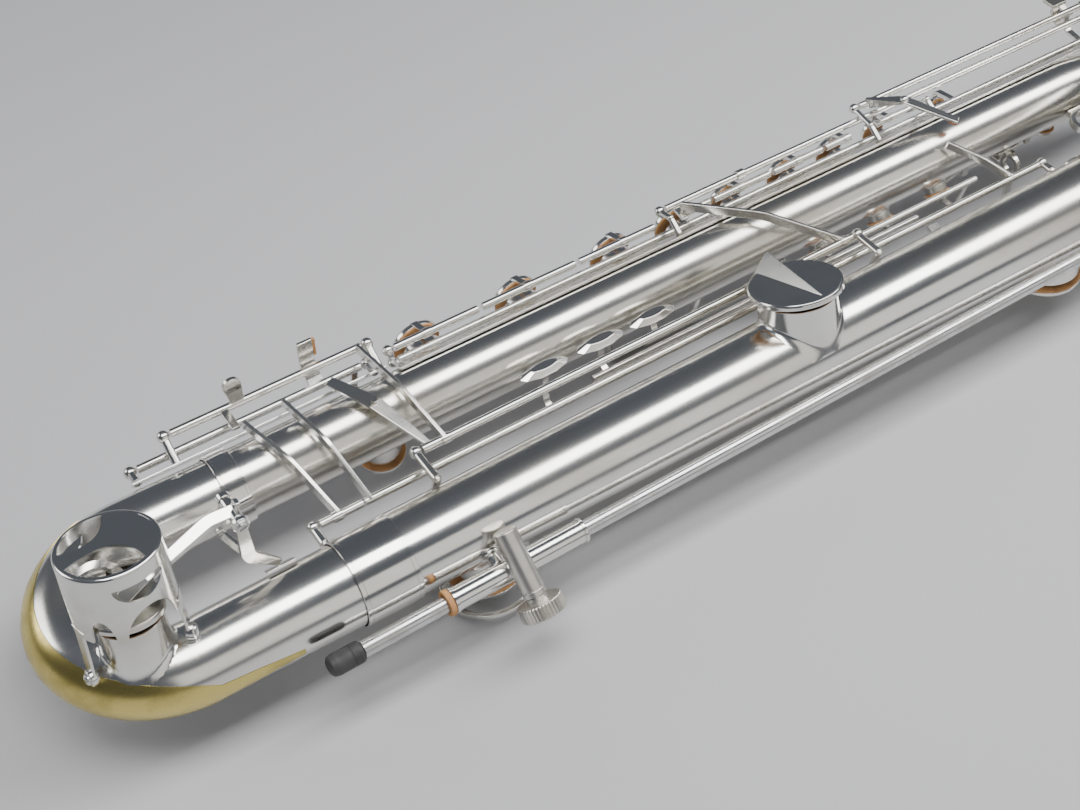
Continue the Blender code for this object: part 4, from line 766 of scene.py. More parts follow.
def build_low_c_guard():
    """Drum-shaped cage: a lid with leaf windows, a pierced wall, and legs with screwed feet."""
    side, other = ring_frame(LOW_C_AXIS)
    turn = [radians(a) for a in range(0, 91, 15)]
    wall = [(WALL_LOW, GUARD_R - 1.5), (WALL_LOW, GUARD_R)]
    wall += [(GUARD_TOP - 2 + 2 * sin(a), GUARD_R - 2 + 2 * cos(a)) for a in turn]
    wall += [(GUARD_TOP, GUARD_R - 3), (GUARD_TOP - 1.6, GUARD_R - 3), (GUARD_TOP - 2.2, GUARD_R - 1.5)]
    wall = revolved(LOW_C_FOOT, LOW_C_AXIS, wall, 24)
    lid = turned(LOW_C_FOOT, LOW_C_AXIS, [(GUARD_TOP - depth, GUARD_R - 2.6) for depth in (1.5, 0.1)], 24, 0)

    def on_lid(height):
        return lambda p: LOW_C_FOOT + side * p[0] + other * p[1] + LOW_C_AXIS * height

    windows = [prism(leaf_window(*w), on_lid(GUARD_TOP - 6), on_lid(GUARD_TOP + 4))
               for w in ((-14, 72, (0, 0.02)), (103, 211, (0.29, -0.31)))]
    outlines = [half_moon(a, 32, 94, 12) for a in (192, 45, 300)]
    outlines += [half_moon(a, -spread, WALL_LOW - 1, -rise) for a, spread, rise in
                 ((195, 32, 21), (138, 14, 18), (32, 52, 21), (285, 26, 21))]

    def on_wall(radius):
        return lambda p: guard_point(p[0], radius, p[1])

    holes = [prism(outline, on_wall(GUARD_R - 6), on_wall(GUARD_R + 6)) for outline in outlines]
    solids = [cut([lid], windows), cut([wall], holes)]
    for angle in GUARD_FEET:
        foot = guard_point(angle, GUARD_R + 0.4, foot_height(angle))
        out = (guard_point(angle, 1, 0) - guard_point(angle + 180, 1, 0)).normalized()
        high = guard_point(angle, GUARD_R - 0.7, WALL_LOW + 5)
        solids.append(strap([high, guard_point(angle, GUARD_R - 0.7, WALL_LOW - 3), foot],
                            [(13, 1.8), (9, 1.8), (8.4, 1.8)], out))
        solids.append(turned(foot - out * 2.2, out, [(0, 4.9), (1.5, 5.4), (4.6, 5.4), (5, 4.6)], 10))
        screws.append(("horn", screw(foot + out * 2.6, out, 3.6, 2.2, 40)))
    plated("low_c_guard", solids)


LOW_C_HINGE = V(-77, -22, 74)


def build_low_c_key():
    lid = cup_profile(over_bow(LOW_C_CHIMNEY + CUP_LIFT), LOW_C_AXIS, LOW_C_CUP_R, 24)
    centre, hinge = over_bow(LOW_C_CHIMNEY + CUP_THICK + 2), LOW_C_HINGE
    turn = (hinge, Y, 5)
    arm = strap([hinge + X * 3, hinge - X * 16, centre + V(20, 3, 8), centre],
                [(8.4, 8.4), (8.2, 8.4), (7, 6.4), (9, 3)], (0, -0.36, 0.93), soft=0.8, bend=4)
    plated("low_c_key", [lid, arm, rod(hinge - Y * 7, hinge + Y * 9, 4.2, segments=12),
                         bar(hinge, hinge + V(3, 0, 9), 5, 3, up=X)], turn)
    disc = turned(over_bow(LOW_C_CHIMNEY + 0.2), LOW_C_AXIS,
                  [(0, LOW_C_CUP_R - 1.2), (2, LOW_C_CUP_R - 0.6)], 20, 0.6)
    piece("low_c_pad", "pad_leather", [disc], turn, body="low_c")


def build_low_c_post():
    """Tapered post with a knee and a thin foot plate; the pivot screw sits in its head."""
    foot, up = on_tube(-58, BELL_Y, 47, 30), radial(47)
    knee = V(-76, -30.5, 40)
    near, far = LOW_C_HINGE - Y * 9.2, LOW_C_HINGE + Y * 11.2
    solids = [strap([near + Z * 2, knee, foot + up * 2.2], [(6, 3), (9, 3.4), (5, 2.4)], Y, bend=4)]
    solids.append(bar(foot + X * 9, foot - X * 11, 9, 1.4, up=up))
    solids += bars([far + Z * 2, V(-84, -6, 44), knee], 5, 3, up=Y)
    solids.append(rod(far - Y, far + Y * 3.2, 4.6, segments=10))
    solids.append(turned(near + Y * 0.6, -Y, [(0, 5.6), (3, 5.6), (3.4, 4.4), (4.4, 4.4)], 12))
    screws.append(("horn", screw(near - Y * 3.6, -Y, 3.6, 1.6, 20)))
    plated("low_c_post", solids)


# ---- bell keys ----
def cup_profile(start, direction, radius, segments=20):
    """Key cup: a bright rim round a lid that is a touch lower, with its rim over the pad."""
    profile = [(0.9, radius - 0.6), (0.9, radius), (CUP_THICK * 0.72, radius), (CUP_THICK, radius - 0.9),
               (CUP_THICK, radius - 1.8), (CUP_THICK - 0.25, radius - 2.3)]
    return turned(start, direction, profile, segments, 0.5)


def cup(x, centre_y, angle, height, radius, segments=20):
    return cup_profile(on_tube(x, centre_y, angle, height + CUP_LIFT), radial(angle), radius, segments)


def pad(body, x, centre_y, angle, height, radius, turn=None):
    """Leather pad that shows under the rim of a cup."""
    disc = turned(on_tube(x, centre_y, angle, height + CUP_LIFT - 0.35), radial(angle),
                  [(0, radius - 1), (0.5, radius - 0.5), (2.2, radius - 0.5)], 14, 0.4)
    piece(body + "_pad", "pad_leather", [disc], turn, body=body)


LOW_B_OPEN = 2.5  # degrees that the low B cup stands open
B_FLAT_OPEN = 3


def build_low_b_key():
    x, angle, height, radius = BELL_KEYS["low_b"]
    turn = (V(0, *HINGE_A), X, -LOW_B_OPEN)
    top = on_tube(x, BELL_Y, angle, height + 0.3 + CUP_THICK)
    plated("low_b_key", [
        hinge_tube(77, 432, HINGE_A), cup(x, BELL_Y, angle, height, radius, 24),
        *ridge_arm(V(x - 6, *HINGE_A), angle, top, radius, 15),
        *crossing_lever((79.5, *HINGE_A), (66, 90, 37), 6),
        *crossing_lever((424, *HINGE_A), (338, 86, 35), 8),
        *(sleeve_end((at, *HINGE_A)) for at in (80, 334, 424))], turn)
    disc = turned(on_tube(x, BELL_Y, angle, height + 0.3), radial(angle),
                  [(0, radius - 3.2), (2.4, radius - 0.8)], 24)
    piece("low_b_pad", "pad_leather", [disc], turn)


def sleeve_end(centre, radius=HINGE_R + 0.7, length=6):
    """Soldered sleeve where a lever leaves its hinge tube."""
    return rod(Vector(centre) - X * (length / 2), Vector(centre) + X * (length / 2), radius)


# ---- keys on the body tube ----
def build_stack_keys():
    """Main stack: each key is a hinge tube on the middle rod, an arm and a cup with its pad."""
    for name, x, radius, start, end in STACK:
        turn = (V(0, *ROD_2), X, STACK_OPEN)
        top = on_tube(x, BODY_Y, STACK_ANGLE, STACK_HEIGHT + CUP_THICK)
        arm_x = min(max(x, start + 3), end - 3)
        rise = V(arm_x, top.y + 1.5, 12)
        plated(name, [
            hinge_tube(start, end, ROD_2), cup(x, BODY_Y, STACK_ANGLE, STACK_HEIGHT, radius, 20),
            bar((arm_x, *ROD_2), rise, 3, 5, up=X), bar(rise + Z, top + Y * 0.5, 3, 6, 3, 4, up=X),
            sleeve_end((arm_x, *ROD_2))], turn)
        pad(name, x, BODY_Y, STACK_ANGLE, STACK_HEIGHT, radius, turn)


# ---- the floor peg ----
PEG_AXIS = V(1, PEG_SLOPE, 0).normalized()
BARREL_TOP = V(70, -86.5, 20)  # upper end of the peg clamp's barrel
KNOB_CENTRE = V(73, -125, -20)


def knurled(start, direction, low, high, radius, teeth=40, depth=0.7):
    """Band with straight knurling."""
    side, other = ring_frame(direction)
    angles = [2 * pi * k / (teeth * 4) for k in range(teeth * 4)]
    rings = []
    for along, cut_in in ((low, 1), (low + 0.7, 0), (high - 0.7, 0), (high, 1)):
        reaches = [radius - cut_in * 0.7 - (depth if k % 4 in (2, 3) else 0) for k in range(teeth * 4)]
        rings.append([start + direction * along + side * cos(a) * r + other * sin(a) * r
                      for a, r in zip(angles, reaches)])
    return loft(rings)


def build_peg():
    near, far = peg_point(24), peg_point(124)
    shell = swept_tube([near, far], [PEG_SLEEVE_R] * 2, PEG_SLEEVE_R - PEG_R - GAP, 16)
    axis = (KNOB_CENTRE - BARREL_TOP).normalized()
    barrel_end = KNOB_CENTRE - axis * 9.6
    length = (barrel_end - BARREL_TOP).length
    foot = on_tube(62, BELL_Y, 188, bell_radius(62) + 0.5)
    groove = length - 4
    barrel = turned(BARREL_TOP, axis, [(0, 7.2), (0.8, 8), (groove - 0.5, 8), (groove - 0.2, 7.5),
                                       (groove + 0.2, 7.5), (groove + 0.5, 8), (length, 8)], 16)
    bore_cut = rod(near - PEG_AXIS * 5, far + PEG_AXIS * 5, PEG_R + GAP, segments=16, soft=0)
    tunnel = rod(barrel_end - axis * 12, barrel_end + axis, 4.1, segments=12, soft=0)
    piece("peg_barrel", "plated_metal", [cut([barrel], [bore_cut, tunnel])], body="horn",
          finish="satin_metal")
    post = turned(foot - radial(188), radial(188), [(0, 7.4), (1.6, 7.4), (2.4, 4.8), (9.2, 4.8)], 12, 0.6)
    bead = [pipe_ring(peg_point(x), PEG_AXIS, 2.4, PEG_R + GAP, PEG_SLEEVE_R + 0.7, 16) for x in (24, 121.6)]
    plated("peg_sleeve", [shell, cut([post], [bore_cut])] + bead)
    piece("peg_end_ring", "pad_leather",
          [pipe_ring(peg_point(19.6), PEG_AXIS, 4, PEG_R + GAP, PEG_SLEEVE_R + 1, 16, 0.8)])
    core = turned(barrel_end, axis,
                  [(-10, 3.6), (0.5, 3.6), (0.5, 7.6), (4.4, 7.6), (4.4, 13.2), (14.4, 13.2)], 20, 0.2)
    rim = knurled(barrel_end, axis, 4.5, 14.2, 15.6)
    face = turned(barrel_end, axis, [(14, 14.4), (14.6, 14), (14.6, 12.4), (14.1, 11.8)], 20, 0.2)
    piece("peg_knob", "polished_metal", [core, rim, face], finish="satin_metal")
    rod_start = peg_point(PEG_TIP_X + 12)
    piece("peg_rod", "steel", [rod(rod_start, peg_point(PEG_END_X), PEG_R, segments=12, soft=0.8)])
    profile = [(0, 6.6), (2, 7.4), (7, 7.4), (7.4, 7), (7.8, 7.4), (18, 7.4), (21.5, 6.6), (23, 4.6)]
    piece("peg_tip", "black_rubber", [turned(rod_start - PEG_AXIS * GAP, -PEG_AXIS, profile, 16, 0.5)])
    clear = rod(peg_point(GUIDE_X - 16), peg_point(GUIDE_X + 19), PEG_R + GAP, segments=14, soft=0)
    tube = rod((GUIDE_X - 21, BELL_Y, 0), (GUIDE_X + 24, BELL_Y, 0), bell_radius(GUIDE_X + 24) + 0.35,
               segments=36, soft=0)
    guide = rod(peg_point(GUIDE_X - 7), peg_point(GUIDE_X + 7), PEG_R + 2.6, segments=14)
    reach = bell_radius(GUIDE_X) + 1.3
    plate = bar(on_tube(GUIDE_X - 10, BELL_Y, 192, reach), on_tube(GUIDE_X + 10, BELL_Y, 192, reach),
                22, 2.6, up=radial(192))
    plated("peg_guide", [cut([guide, plate], [clear, tube])])


def bow_radii(path):
    return tapered(path, bell_radius(BELL_START), BODY_R)


def guard_point(angle_deg, radius, height):
    side, other = ring_frame(LOW_C_AXIS)
    angle = radians(angle_deg)
    return LOW_C_FOOT + LOW_C_AXIS * height + side * radius * cos(angle) + other * radius * sin(angle)


def foot_height(angle):
    """Height along the cage at which a leg's foot just stands clear of the bow."""
    path = bow_path(18)
    radii = bow_radii(path)
    height = 66
    while height > 20:
        point = guard_point(angle, GUARD_R + 0.6, height)
        room = min((point - centre).length - radius for centre, radius in zip(path, radii))
        if room < 5.6:
            break
        height -= 0.5
    return height


RIDGE = 12  # height of the ridge over the near rim of its cup


def ridge_arm(hinge, angle, centre_top, reach, width):
    """Pointed ridge from the hinge tube across a cup: high at the near rim, sharp at its tip."""
    up = radial(angle)
    across = centre_top - hinge
    across -= up * across.dot(up)
    across.x = 0
    across.normalize()
    near_rim, tip = centre_top - across * reach, centre_top + across * (reach * 0.82)
    side = X * (width / 2)
    peak = near_rim + side * 0.5 + up * RIDGE
    base = [near_rim + side - up, near_rim - side * 1.2 - up, peak]
    ridge = [*base, tip + up * 0.6, tip + side * 0.15 - up, tip - side * 0.15 - up]
    sides = (hinge + side * 0.75, hinge - side * 0.75)
    return [hull(ridge), hull([*sides, *(p - up * 3 for p in sides), *base])]


def crossing_lever(hinge, far, crown, tall=LEVER_HEIGHT):
    """Flat lever on edge, from a hinge tube over the body tube to the far rods."""
    middle = (Vector(hinge) + Vector(far)) / 2 + Z * crown
    return bars([hinge, middle, far], LEVER_THICK + LEVER_EXTRA, tall + LEVER_EXTRA)


def build_bridge_lever():
    """Broad lever that shares the low B key's hinge and carries an adjusting screw."""
    middle = V(52, 42, 31)
    plated("bridge_lever", [
        hinge_tube(62.5, 76.5, HINGE_A, HINGE_R + 0.3, segments=10),
        bar((69, *HINGE_A), middle, 4, 2.2, 11, 2.2), bar(middle, (36, 76, 31), 11, 2.2, 8, 2.2),
        rod(middle - Z * 3.5, middle + Z * 3, 2.2)])


def build_low_b_flat_key():
    x, angle, height, radius = BELL_KEYS["low_b_flat"]
    top = on_tube(x, BELL_Y, angle, height + CUP_THICK)
    solids = [hinge_tube(14, 621, HINGE_B), cup(x, BELL_Y, angle, height, radius, 16)]
    solids += bars([V(x, *HINGE_B), V(x, -11, -40), V(x, -21, -55), top + V(0, 7, -2.4)], 3.2, 6, up=X)
    solids += crossing_lever((18, *HINGE_B), (1, 76, 29), 11)
    solids += crossing_lever((593, *HINGE_B), (560, 37, 21), 2.4, LEVER_HEIGHT - LEVER_EXTRA)
    plated("low_b_flat_key", solids, (V(0, *HINGE_B), X, B_FLAT_OPEN))


def build_low_c_link():
    plated("low_c_link", [hinge_tube(-19, 12.6, HINGE_B), *crossing_lever((-5, *HINGE_B), (-29, 72, 33), 9),
                          hinge_tube(-10, -3, HINGE_B, HINGE_R + 1.2, segments=10)])


def build_low_c_sharp_key():
    x, angle, height, radius = BELL_KEYS["low_c_sharp"]
    y, z = HINGE_C
    top = on_tube(x, BELL_Y, angle, height + CUP_THICK)
    solids = [hinge_tube(38, 300, HINGE_C), cup(x, BELL_Y, angle, height, radius, 16)]
    solids += bars([V(x, y, z), V(x, y - 10, z - 17), top + V(0, 8, -1)], 7, 3.2, up=X)
    solids.append(bar((290, y, z), (290, y + 14, z - 2), 6, 3))
    plated("low_c_sharp_key", solids, (V(0, y, z), X, C_SHARP_OPEN))


def ball_post(x, line, foot, leg_r=2.6):
    head = V(x, *line)
    return [ball(head, BALL_R), rod(head, foot, leg_r, leg_r * 1.15, segments=6)]


def rib(x0, x1, angle, distance):
    """Soldered strip along the body tube, for posts to stand on."""
    ends = [on_tube(x, BODY_Y, angle, distance) for x in (x0, x1)]
    return bar(*ends, 9, 1.8, up=radial(angle))


def build_bell_posts():
    """Posts between the tubes that carry the bell keys' hinges, on a rib along the bell tube."""
    solids = [bar(on_tube(-26, BELL_Y, 0, 32.4), on_tube(629.5, BELL_Y, 0, 36.6), 8, 1.8, up=Y)]
    for x, line in ((57.5, HINGE_A), (437.5, HINGE_A), (-23.8, HINGE_B), (625.6, HINGE_B)):
        base = bell_radius(x) + 5
        foot = on_tube(x, BELL_Y, degrees(asin(line[1] / base)), base)
        solids += ball_post(x, line, foot, 3)
        solids += bars([foot, on_tube(x, BELL_Y, 0, base)], 6, 2.4, up=foot - V(x, BELL_Y, 0))
        solids.append(ball(foot, 2.8, segments=6))
    base = bell_radius(505) + 4
    solids.append(bar(on_tube(505, BELL_Y, 0, base), (505, -11.2, 1.5), 4, 9, up=X))
    for x in (33, 305):
        reach = bell_radius(x) + 4.6
        foot = on_tube(x, BELL_Y, -28, reach)
        solids += ball_post(x, HINGE_C, foot)
        solids += bars([foot, on_tube(x, BELL_Y, 0, reach)], 6, 2.4, up=radial(-14))
        solids.append(ball(foot, 3))
    plated("bell_posts", solids)


def build_body_posts():
    """Posts on a rib along the upper far side of the body tube, for the long rods."""
    angle, distance = 60, BODY_R + 1.7
    solids = [rib(84, 778, angle, distance)]
    base = on_tube(0, BODY_Y, angle, distance + 1.4)
    heads = {87: (ROD_2, ROD_3), 324: (ROD_1,), 519: (ROD_4,), 578: (ROD_2,), 773: (ROD_4, ROD_1, ROD_3)}
    for x, lines in heads.items():
        solids += [ball(V(x, *line), BALL_R - 0.4) for line in lines]
        solids += [bar((x, *line), (x, *inner), 4, 4, up=X) for line, inner in zip(lines, lines[1:])]
        knee = V(x, 80, 31) if len(lines) == 1 else V(x, 76, 20)
        solids.append(rod((x, *lines[-1]), knee, 2.2, segments=6))
        solids.append(rod(knee, (x, base.y, base.z), 2.2, 2.6, segments=6))
        solids.append(ball(knee, 2.6, segments=6))
    plated("body_posts", solids)


def build_table_rods():
    """Left hand table: two long rods, each with a finger for a bell key and a touch."""
    line, radius = ROD_1, HINGE_R - 0.2
    solids = [hinge_tube(329, 768, line, radius), hinge_tube(396, 403, line, HINGE_R + 1.2, segments=10)]
    solids.append(bar((338, line[0], line[1] - 1.5), (338, 79, 24), 2.4, 6, up=X))
    solids += bars([V(744, *line), V(744, 104, 30), V(744, 106, 46)], 2.4, 6, up=X)
    plated("table_b_rod", solids + [bar((734, 106, 46), (750, 106, 46), 12, 3)])
    line = ROD_4
    crown, tip = V(549, 78, 44), V(576, 43.5, 34.5)
    solids = [hinge_tube(524, 768, line, radius), bar((532, *line), crown, 3, 9, 9, 2.4)]
    solids += [bar(crown, tip, 9, 2.4, 7, 2.4), ball(crown, 3.6)]
    under = tip - Z * 2
    piece("table_b_flat_cork", "cork", [bar(under - (tip - crown).normalized() * 7, under, 6.4, 1.8)],
          body="table_b_flat", finish="red_cork")
    solids += bars([V(754, *line), V(754, 117, 40), V(754, 121, 46)], 2.4, 6, up=X)
    plated("table_b_flat_rod", solids + [bar((744, 124, 46), (765, 124, 46), 13, 3)])


def build_low_end_posts():
    """Four ball posts on the bow's body leg and the body tube, for the little finger touches."""
    angle, distance = 33, BODY_R + 4.2
    base = on_tube(0, BODY_Y, angle, distance)
    solids = [rib(-108, 80, angle, distance)]
    for x, line in ((-76, LOW_END_A), (76, LOW_END_A), (-104, LOW_END_B), (72, LOW_END_B)):
        solids += ball_post(x, line, (x, base.y, base.z), 2.8)
    plated("low_end_posts", solids)


def upright_touch(x, line, lean):
    """Upright touch plate with a rounded top, standing on its hinge tube."""
    base = V(x, line[0], line[1] + 1)
    top = base + V(lean, 0, 17)
    return [bar(base, top, 9, 3, 13, 3, up=Y), rod(top - Y * 1.5, top + Y * 1.5, 6.5, segments=14)]


def build_low_end_keys():
    plated("low_c_touch", [hinge_tube(-71, 71, LOW_END_A), *upright_touch(-22, LOW_END_A, -2),
                           bar((-33, *LOW_END_A), (-33, 76, 27), 6, 3)])
    x = E_FLAT_X
    top = on_tube(x, BODY_Y, E_FLAT_ANGLE, E_FLAT_HEIGHT + CUP_THICK)
    solids = [hinge_tube(-99, 67, LOW_END_B), cup(x, BODY_Y, E_FLAT_ANGLE, E_FLAT_HEIGHT, E_FLAT_R, 12)]
    solids += bars([V(x, *LOW_END_B), V(x, 96, -12), V(x, 88, -46), top], 3.2, 5, up=X)
    solids += bars([V(34, *LOW_END_B), V(34, 104.5, 22), V(34, 104.5, 46)], 2.6, 11, up=X)
    plated("key_e_flat", solids)
    piece("e_flat_touch_cork", "cork", [bar((40.6, 104.5, 30), (40.6, 104.5, 45.5), 2.4, 2.2, up=X)],
          body="e_flat", finish="pad_leather")


def build_g_sharp_key():
    """G sharp key: the longest rod, a closed cup and a touch beside the left hand table."""
    x, line = G_SHARP_X, ROD_3
    top = on_tube(x, BODY_Y, STACK_ANGLE, STACK_HEIGHT + CUP_THICK)
    solids = [hinge_tube(92, 768, line, HINGE_R - 0.2),
              cup(x, BODY_Y, STACK_ANGLE, STACK_HEIGHT, G_SHARP_R, 12)]
    solids += bars([V(x, *line), V(x, 102, 12), top], 2.6, 5, up=X)
    solids += bars([V(764, *line), V(764, 84, 9), V(764, 104, 12), V(764, 107, 26)], 2.4, 6, up=X)
    plated("g_sharp_key", solids + [bar((752, 109, 27), (767, 109, 27), 13, 3)])


def build_side_keys():
    """Right hand side keys: smooth oval touches between the tubes, long rods, small cups."""
    for name, x, radius, touch_x, line in SIDE:
        top = on_tube(x, BODY_Y, SIDE_ANGLE, SIDE_HEIGHT + CUP_THICK)
        touch = V(touch_x, 17.5, 15.5)
        solids = [hinge_tube(touch_x - 12, x + 10, line, 2.4),
                  cup(x, BODY_Y, SIDE_ANGLE, SIDE_HEIGHT, radius, 10)]
        solids += bars([V(x, *line), V(x, 15, -26), top], 2.4, 5, up=X)
        solids += bars([V(touch_x, *line), V(touch_x, 15.5, line[1] + 3), touch], 2.4, 5, up=X)
        oval = []
        for k in range(10):
            angle = 2 * pi * k / 10
            rim = V(20 * cos(angle), 6.8 * sin(angle), 0)
            oval += [touch + rim, touch + rim * 0.55 + Z * 4]
        plated(name, solids + [hull(oval)])


def pivot_of(x, angle):
    """Middle of a pivot across the body tube, the way up from the tube, and the pivot's direction."""
    return on_tube(x, BODY_Y, angle, body_radius(x) + PIVOT_REACH), radial(angle), X.cross(radial(angle))


def build_palm_keys():
    """Palm keys: short levers lying along the tube, a cup at one end and a touch at the other."""
    for name, x, angle, radius in PALM:
        pivot, up, across = pivot_of(x - PALM_BACK, angle)
        solids = [rod(pivot - across * 6, pivot + across * 6, 2.8, segments=10)]
        solids.append(cup(x, BODY_Y, angle, PALM_HEIGHT, radius, 10))
        top = on_tube(x, BODY_Y, angle, PALM_HEIGHT + CUP_LIFT + CUP_THICK)
        solids += bars([pivot, pivot + up * 4, top], 5, 3, up=up.cross(X))
        touch = pivot - X * 19 + up * 9
        solids.append(bar(pivot, touch + X * 5, 6, 3, up=up))
        solids.append(bar(touch - X * 12, touch + X * 9, 14, 3, up=up))
        plated(name, solids)


def saddle(x, angle):
    """Soldered saddle that carries a pivot across the body tube, with an ear at each end."""
    pivot, up, across = pivot_of(x, angle)
    centre = on_tube(x, BODY_Y, angle, body_radius(x) - 0.4)
    solids = [bar(centre - across * 8.6, centre + across * 8.6, 7, 3.4, up=up)]
    for sign in (-1, 1):
        aside = across * sign * 7.6
        solids.append(bar(centre + aside, pivot + aside + up * 2.5, 6, 2, up=across))
    return solids


def peg_point(x):
    return V(0, PEG_Y, PEG_Z) + PEG_AXIS * (x / PEG_AXIS.x)


def upper_bow_path():
    top = BODY_END + GAP
    bend = (BODY_Y - NECK_Y) / 2
    points = [V(top, BODY_Y, 0), V(top + 30, BODY_Y, 0)]
    turn_x = top + 42
    points += arc_points((turn_x, NECK_Y + bend, 0), bend, bend, 90, -90, 48)
    small = NECK_Z / 2
    for i in range(1, 40):
        angle = radians(270 - 180 * i / 40)
        points.append(V(turn_x + small * cos(angle), NECK_Y, small + small * sin(angle)))
    points.append(V(turn_x, NECK_Y, NECK_Z))
    points.append(V(RECEIVER_X, NECK_Y, NECK_Z))
    return points


def build_upper_bow():
    path = upper_bow_path()
    shell = swept_tube(path, tapered(path, BODY_TOP_R, 13.4), WALL, 12)
    collar = pipe_ring((BODY_END + 1, BODY_Y, 0), X, 9, BODY_TOP_R - 0.8, BODY_TOP_R + 2.4, 14)
    brace = rod((BODY_END + 24, BODY_Y - 15.5, 0), (BODY_END + 40, NECK_Y + 14, 0), 2.6)
    plated("upper_bow", [shell, collar, brace])
    solids = [pipe_ring((RECEIVER_X - 9, NECK_Y, NECK_Z), X, 32, 13.9, 17, 18)]
    for sign in (-1, 1):
        solids.append(plank(V(RECEIVER_X + 10, NECK_Y + sign * 4.2, NECK_Z + 20.5), 6, 4.4, 11))
    slot = bar((RECEIVER_X + 2, NECK_Y, NECK_Z + 20), (RECEIVER_X + 30, NECK_Y, NECK_Z + 20), 2, 16)
    screw_x, screw_z = RECEIVER_X + 10, NECK_Z + 22
    hole = rod((screw_x, NECK_Y - 12, screw_z), (screw_x, NECK_Y + 12, screw_z), 2.5, segments=10)
    piece("neck_socket", "polished_metal", [cut(solids, [slot, hole])])
    start = V(screw_x, NECK_Y - 8.4, screw_z)
    thumb = [turned(start, Y, [(0, 2.1), (15.2, 2.1), (15.2, 4), (19.5, 4)], 10)]
    wing = start + Y * 22
    thumb.append(plank(wing, 7, 8, 2.6))
    piece("neck_screw", "steel", thumb)


def neck_path():
    start = V(RECEIVER_X + 0.5, NECK_Y, NECK_Z)
    bend = 34
    turn_x = RECEIVER_X + 36
    points = [start] + arc_points((turn_x, NECK_Y + bend, NECK_Z), bend, bend, -90, 0, 40)
    points.append(points[-1] + V(-0.1, 78.7, 0))
    return points


def build_neck():
    path = neck_path()
    plated("neck", [swept_tube(path, tapered(path, 13.4, 8.6), WALL, 12)])
    end, along = path[-1], (path[-1] - path[-2]).normalized()
    start = end - along * 16
    side = V(along.y, -along.x, 0)
    piece("neck_cork", "cork", [swept_tube([end - along * 30, end - along * 0.5], [11.3, 10.3], 1.1, 16)])

    def mouth(distance, height=0):
        """Place on the mouthpiece: how far from its open end, how high over its axis."""
        return start + along * distance + Z * height

    shank = swept_tube([mouth(0), mouth(34), mouth(70)], [14.2, 14, 12.6], 2.7, 18)
    lip = [mouth(96, -11.9 + 2 * t) + side * s * 8.5 for s in (-1, 1) for t in (0, 1)]
    angles = [2 * pi * k / 16 for k in range(16)]
    ring = [mouth(69) + side * 12.4 * cos(a) + Z * (12.4 * sin(a)) for a in angles]
    beak = hull(ring + lip, 0)
    window = bar(mouth(60, -12), mouth(93, -12), 9.5, 14)
    table = bar(mouth(20, -20), mouth(120, -20), 60, 16)
    piece("mouthpiece", "hard_rubber", [cut([shank, beak], [window, table])])
    piece("reed", "cane", [bar(mouth(24, -13.8), mouth(95, -12.8), 15, 2.6, 17, 0.6)])
    piece("ligature", "polished_metal", [swept_tube([mouth(30), mouth(56)], [18.4, 18.2], 1.2, 18)])
    piece("ligature_screw", "steel",
          [turned(mouth(43, -4) + side * 19, side, [(0, 1.6), (4, 1.6), (4, 4.4), (8, 4.4)], 10)])
    pivot = path[1] + V(4, 0, 18)
    tip = pivot + V(34, 36, -0.5)
    solids = bars([pivot, pivot + V(24, 14, 1), tip], 5, 2.4)
    solids.append(rod(pivot + V(0, -6, -1), pivot + V(0, 6, -1), 2.4))
    plated("neck_octave_key", solids + [rod(tip + Z, tip - Z * 5, 3.8, segments=10)])


def build_braces():
    x = 700
    bell_edge = BELL_Y + flare_radius(x + 8) + 0.8
    body_edge = BODY_Y - BODY_R - 0.8
    centre = V(x, (bell_edge + body_edge) / 2, 0)
    plated("body_bell_brace", [
        pipe_ring(centre - Z * 3, Z, 6, 11, 15, 16),
        bar((x, bell_edge, 0), centre - Y * 13, 14, 5), bar(centre + Y * 13, (x, body_edge, 0), 14, 5)])


def under_guard(name, x, centre_y, angle, tube_r, height, radius):
    """Ring guard over an underside key, on two legs along the tube, with flat feet."""
    axis = radial(angle)
    start = on_tube(x, centre_y, angle, height - 3)
    solids = [pipe_ring(start, axis, 3, radius - 4, radius, 18)]
    solids.append(bar(start + V(radius - 2, 0, 0) + axis * 1.5, start - V(radius - 2, 0, 0) + axis * 1.5,
                      4, 3, up=axis))
    for sign in (-1, 1):
        out = V(sign * (radius - 2), 0, 0)
        foot = on_tube(x, centre_y, angle, tube_r + 1.6) + out
        solids.append(bar(start + axis * 1 + out, foot, 3, 6, up=X))
        solids.append(plank(foot, 6, 9, 1.8, up=axis))
    plated(name, solids)


def build_guards():
    under_guard("low_c_sharp_guard", 70, BELL_Y, -99, bell_radius(110), 62, 33)
    points = [V(252, 62, -26.6), V(262, 64, -67.6), V(338, 64, -70), V(348, 62, -26.6)]
    solids = [rod(a, b, 3.2, segments=10) for a, b in zip(points, points[1:])]
    solids += [ball(point, 3.3, segments=10) for point in points[1:-1]]
    solids += [plank(point, 9, 12, 1.8, up=radial(-75)) for point in (points[0], points[-1])]
    plated("leg_guard", solids)


OCTAVE_X = 601  # pivot of the octave key
OCTAVE_ANGLE = -96


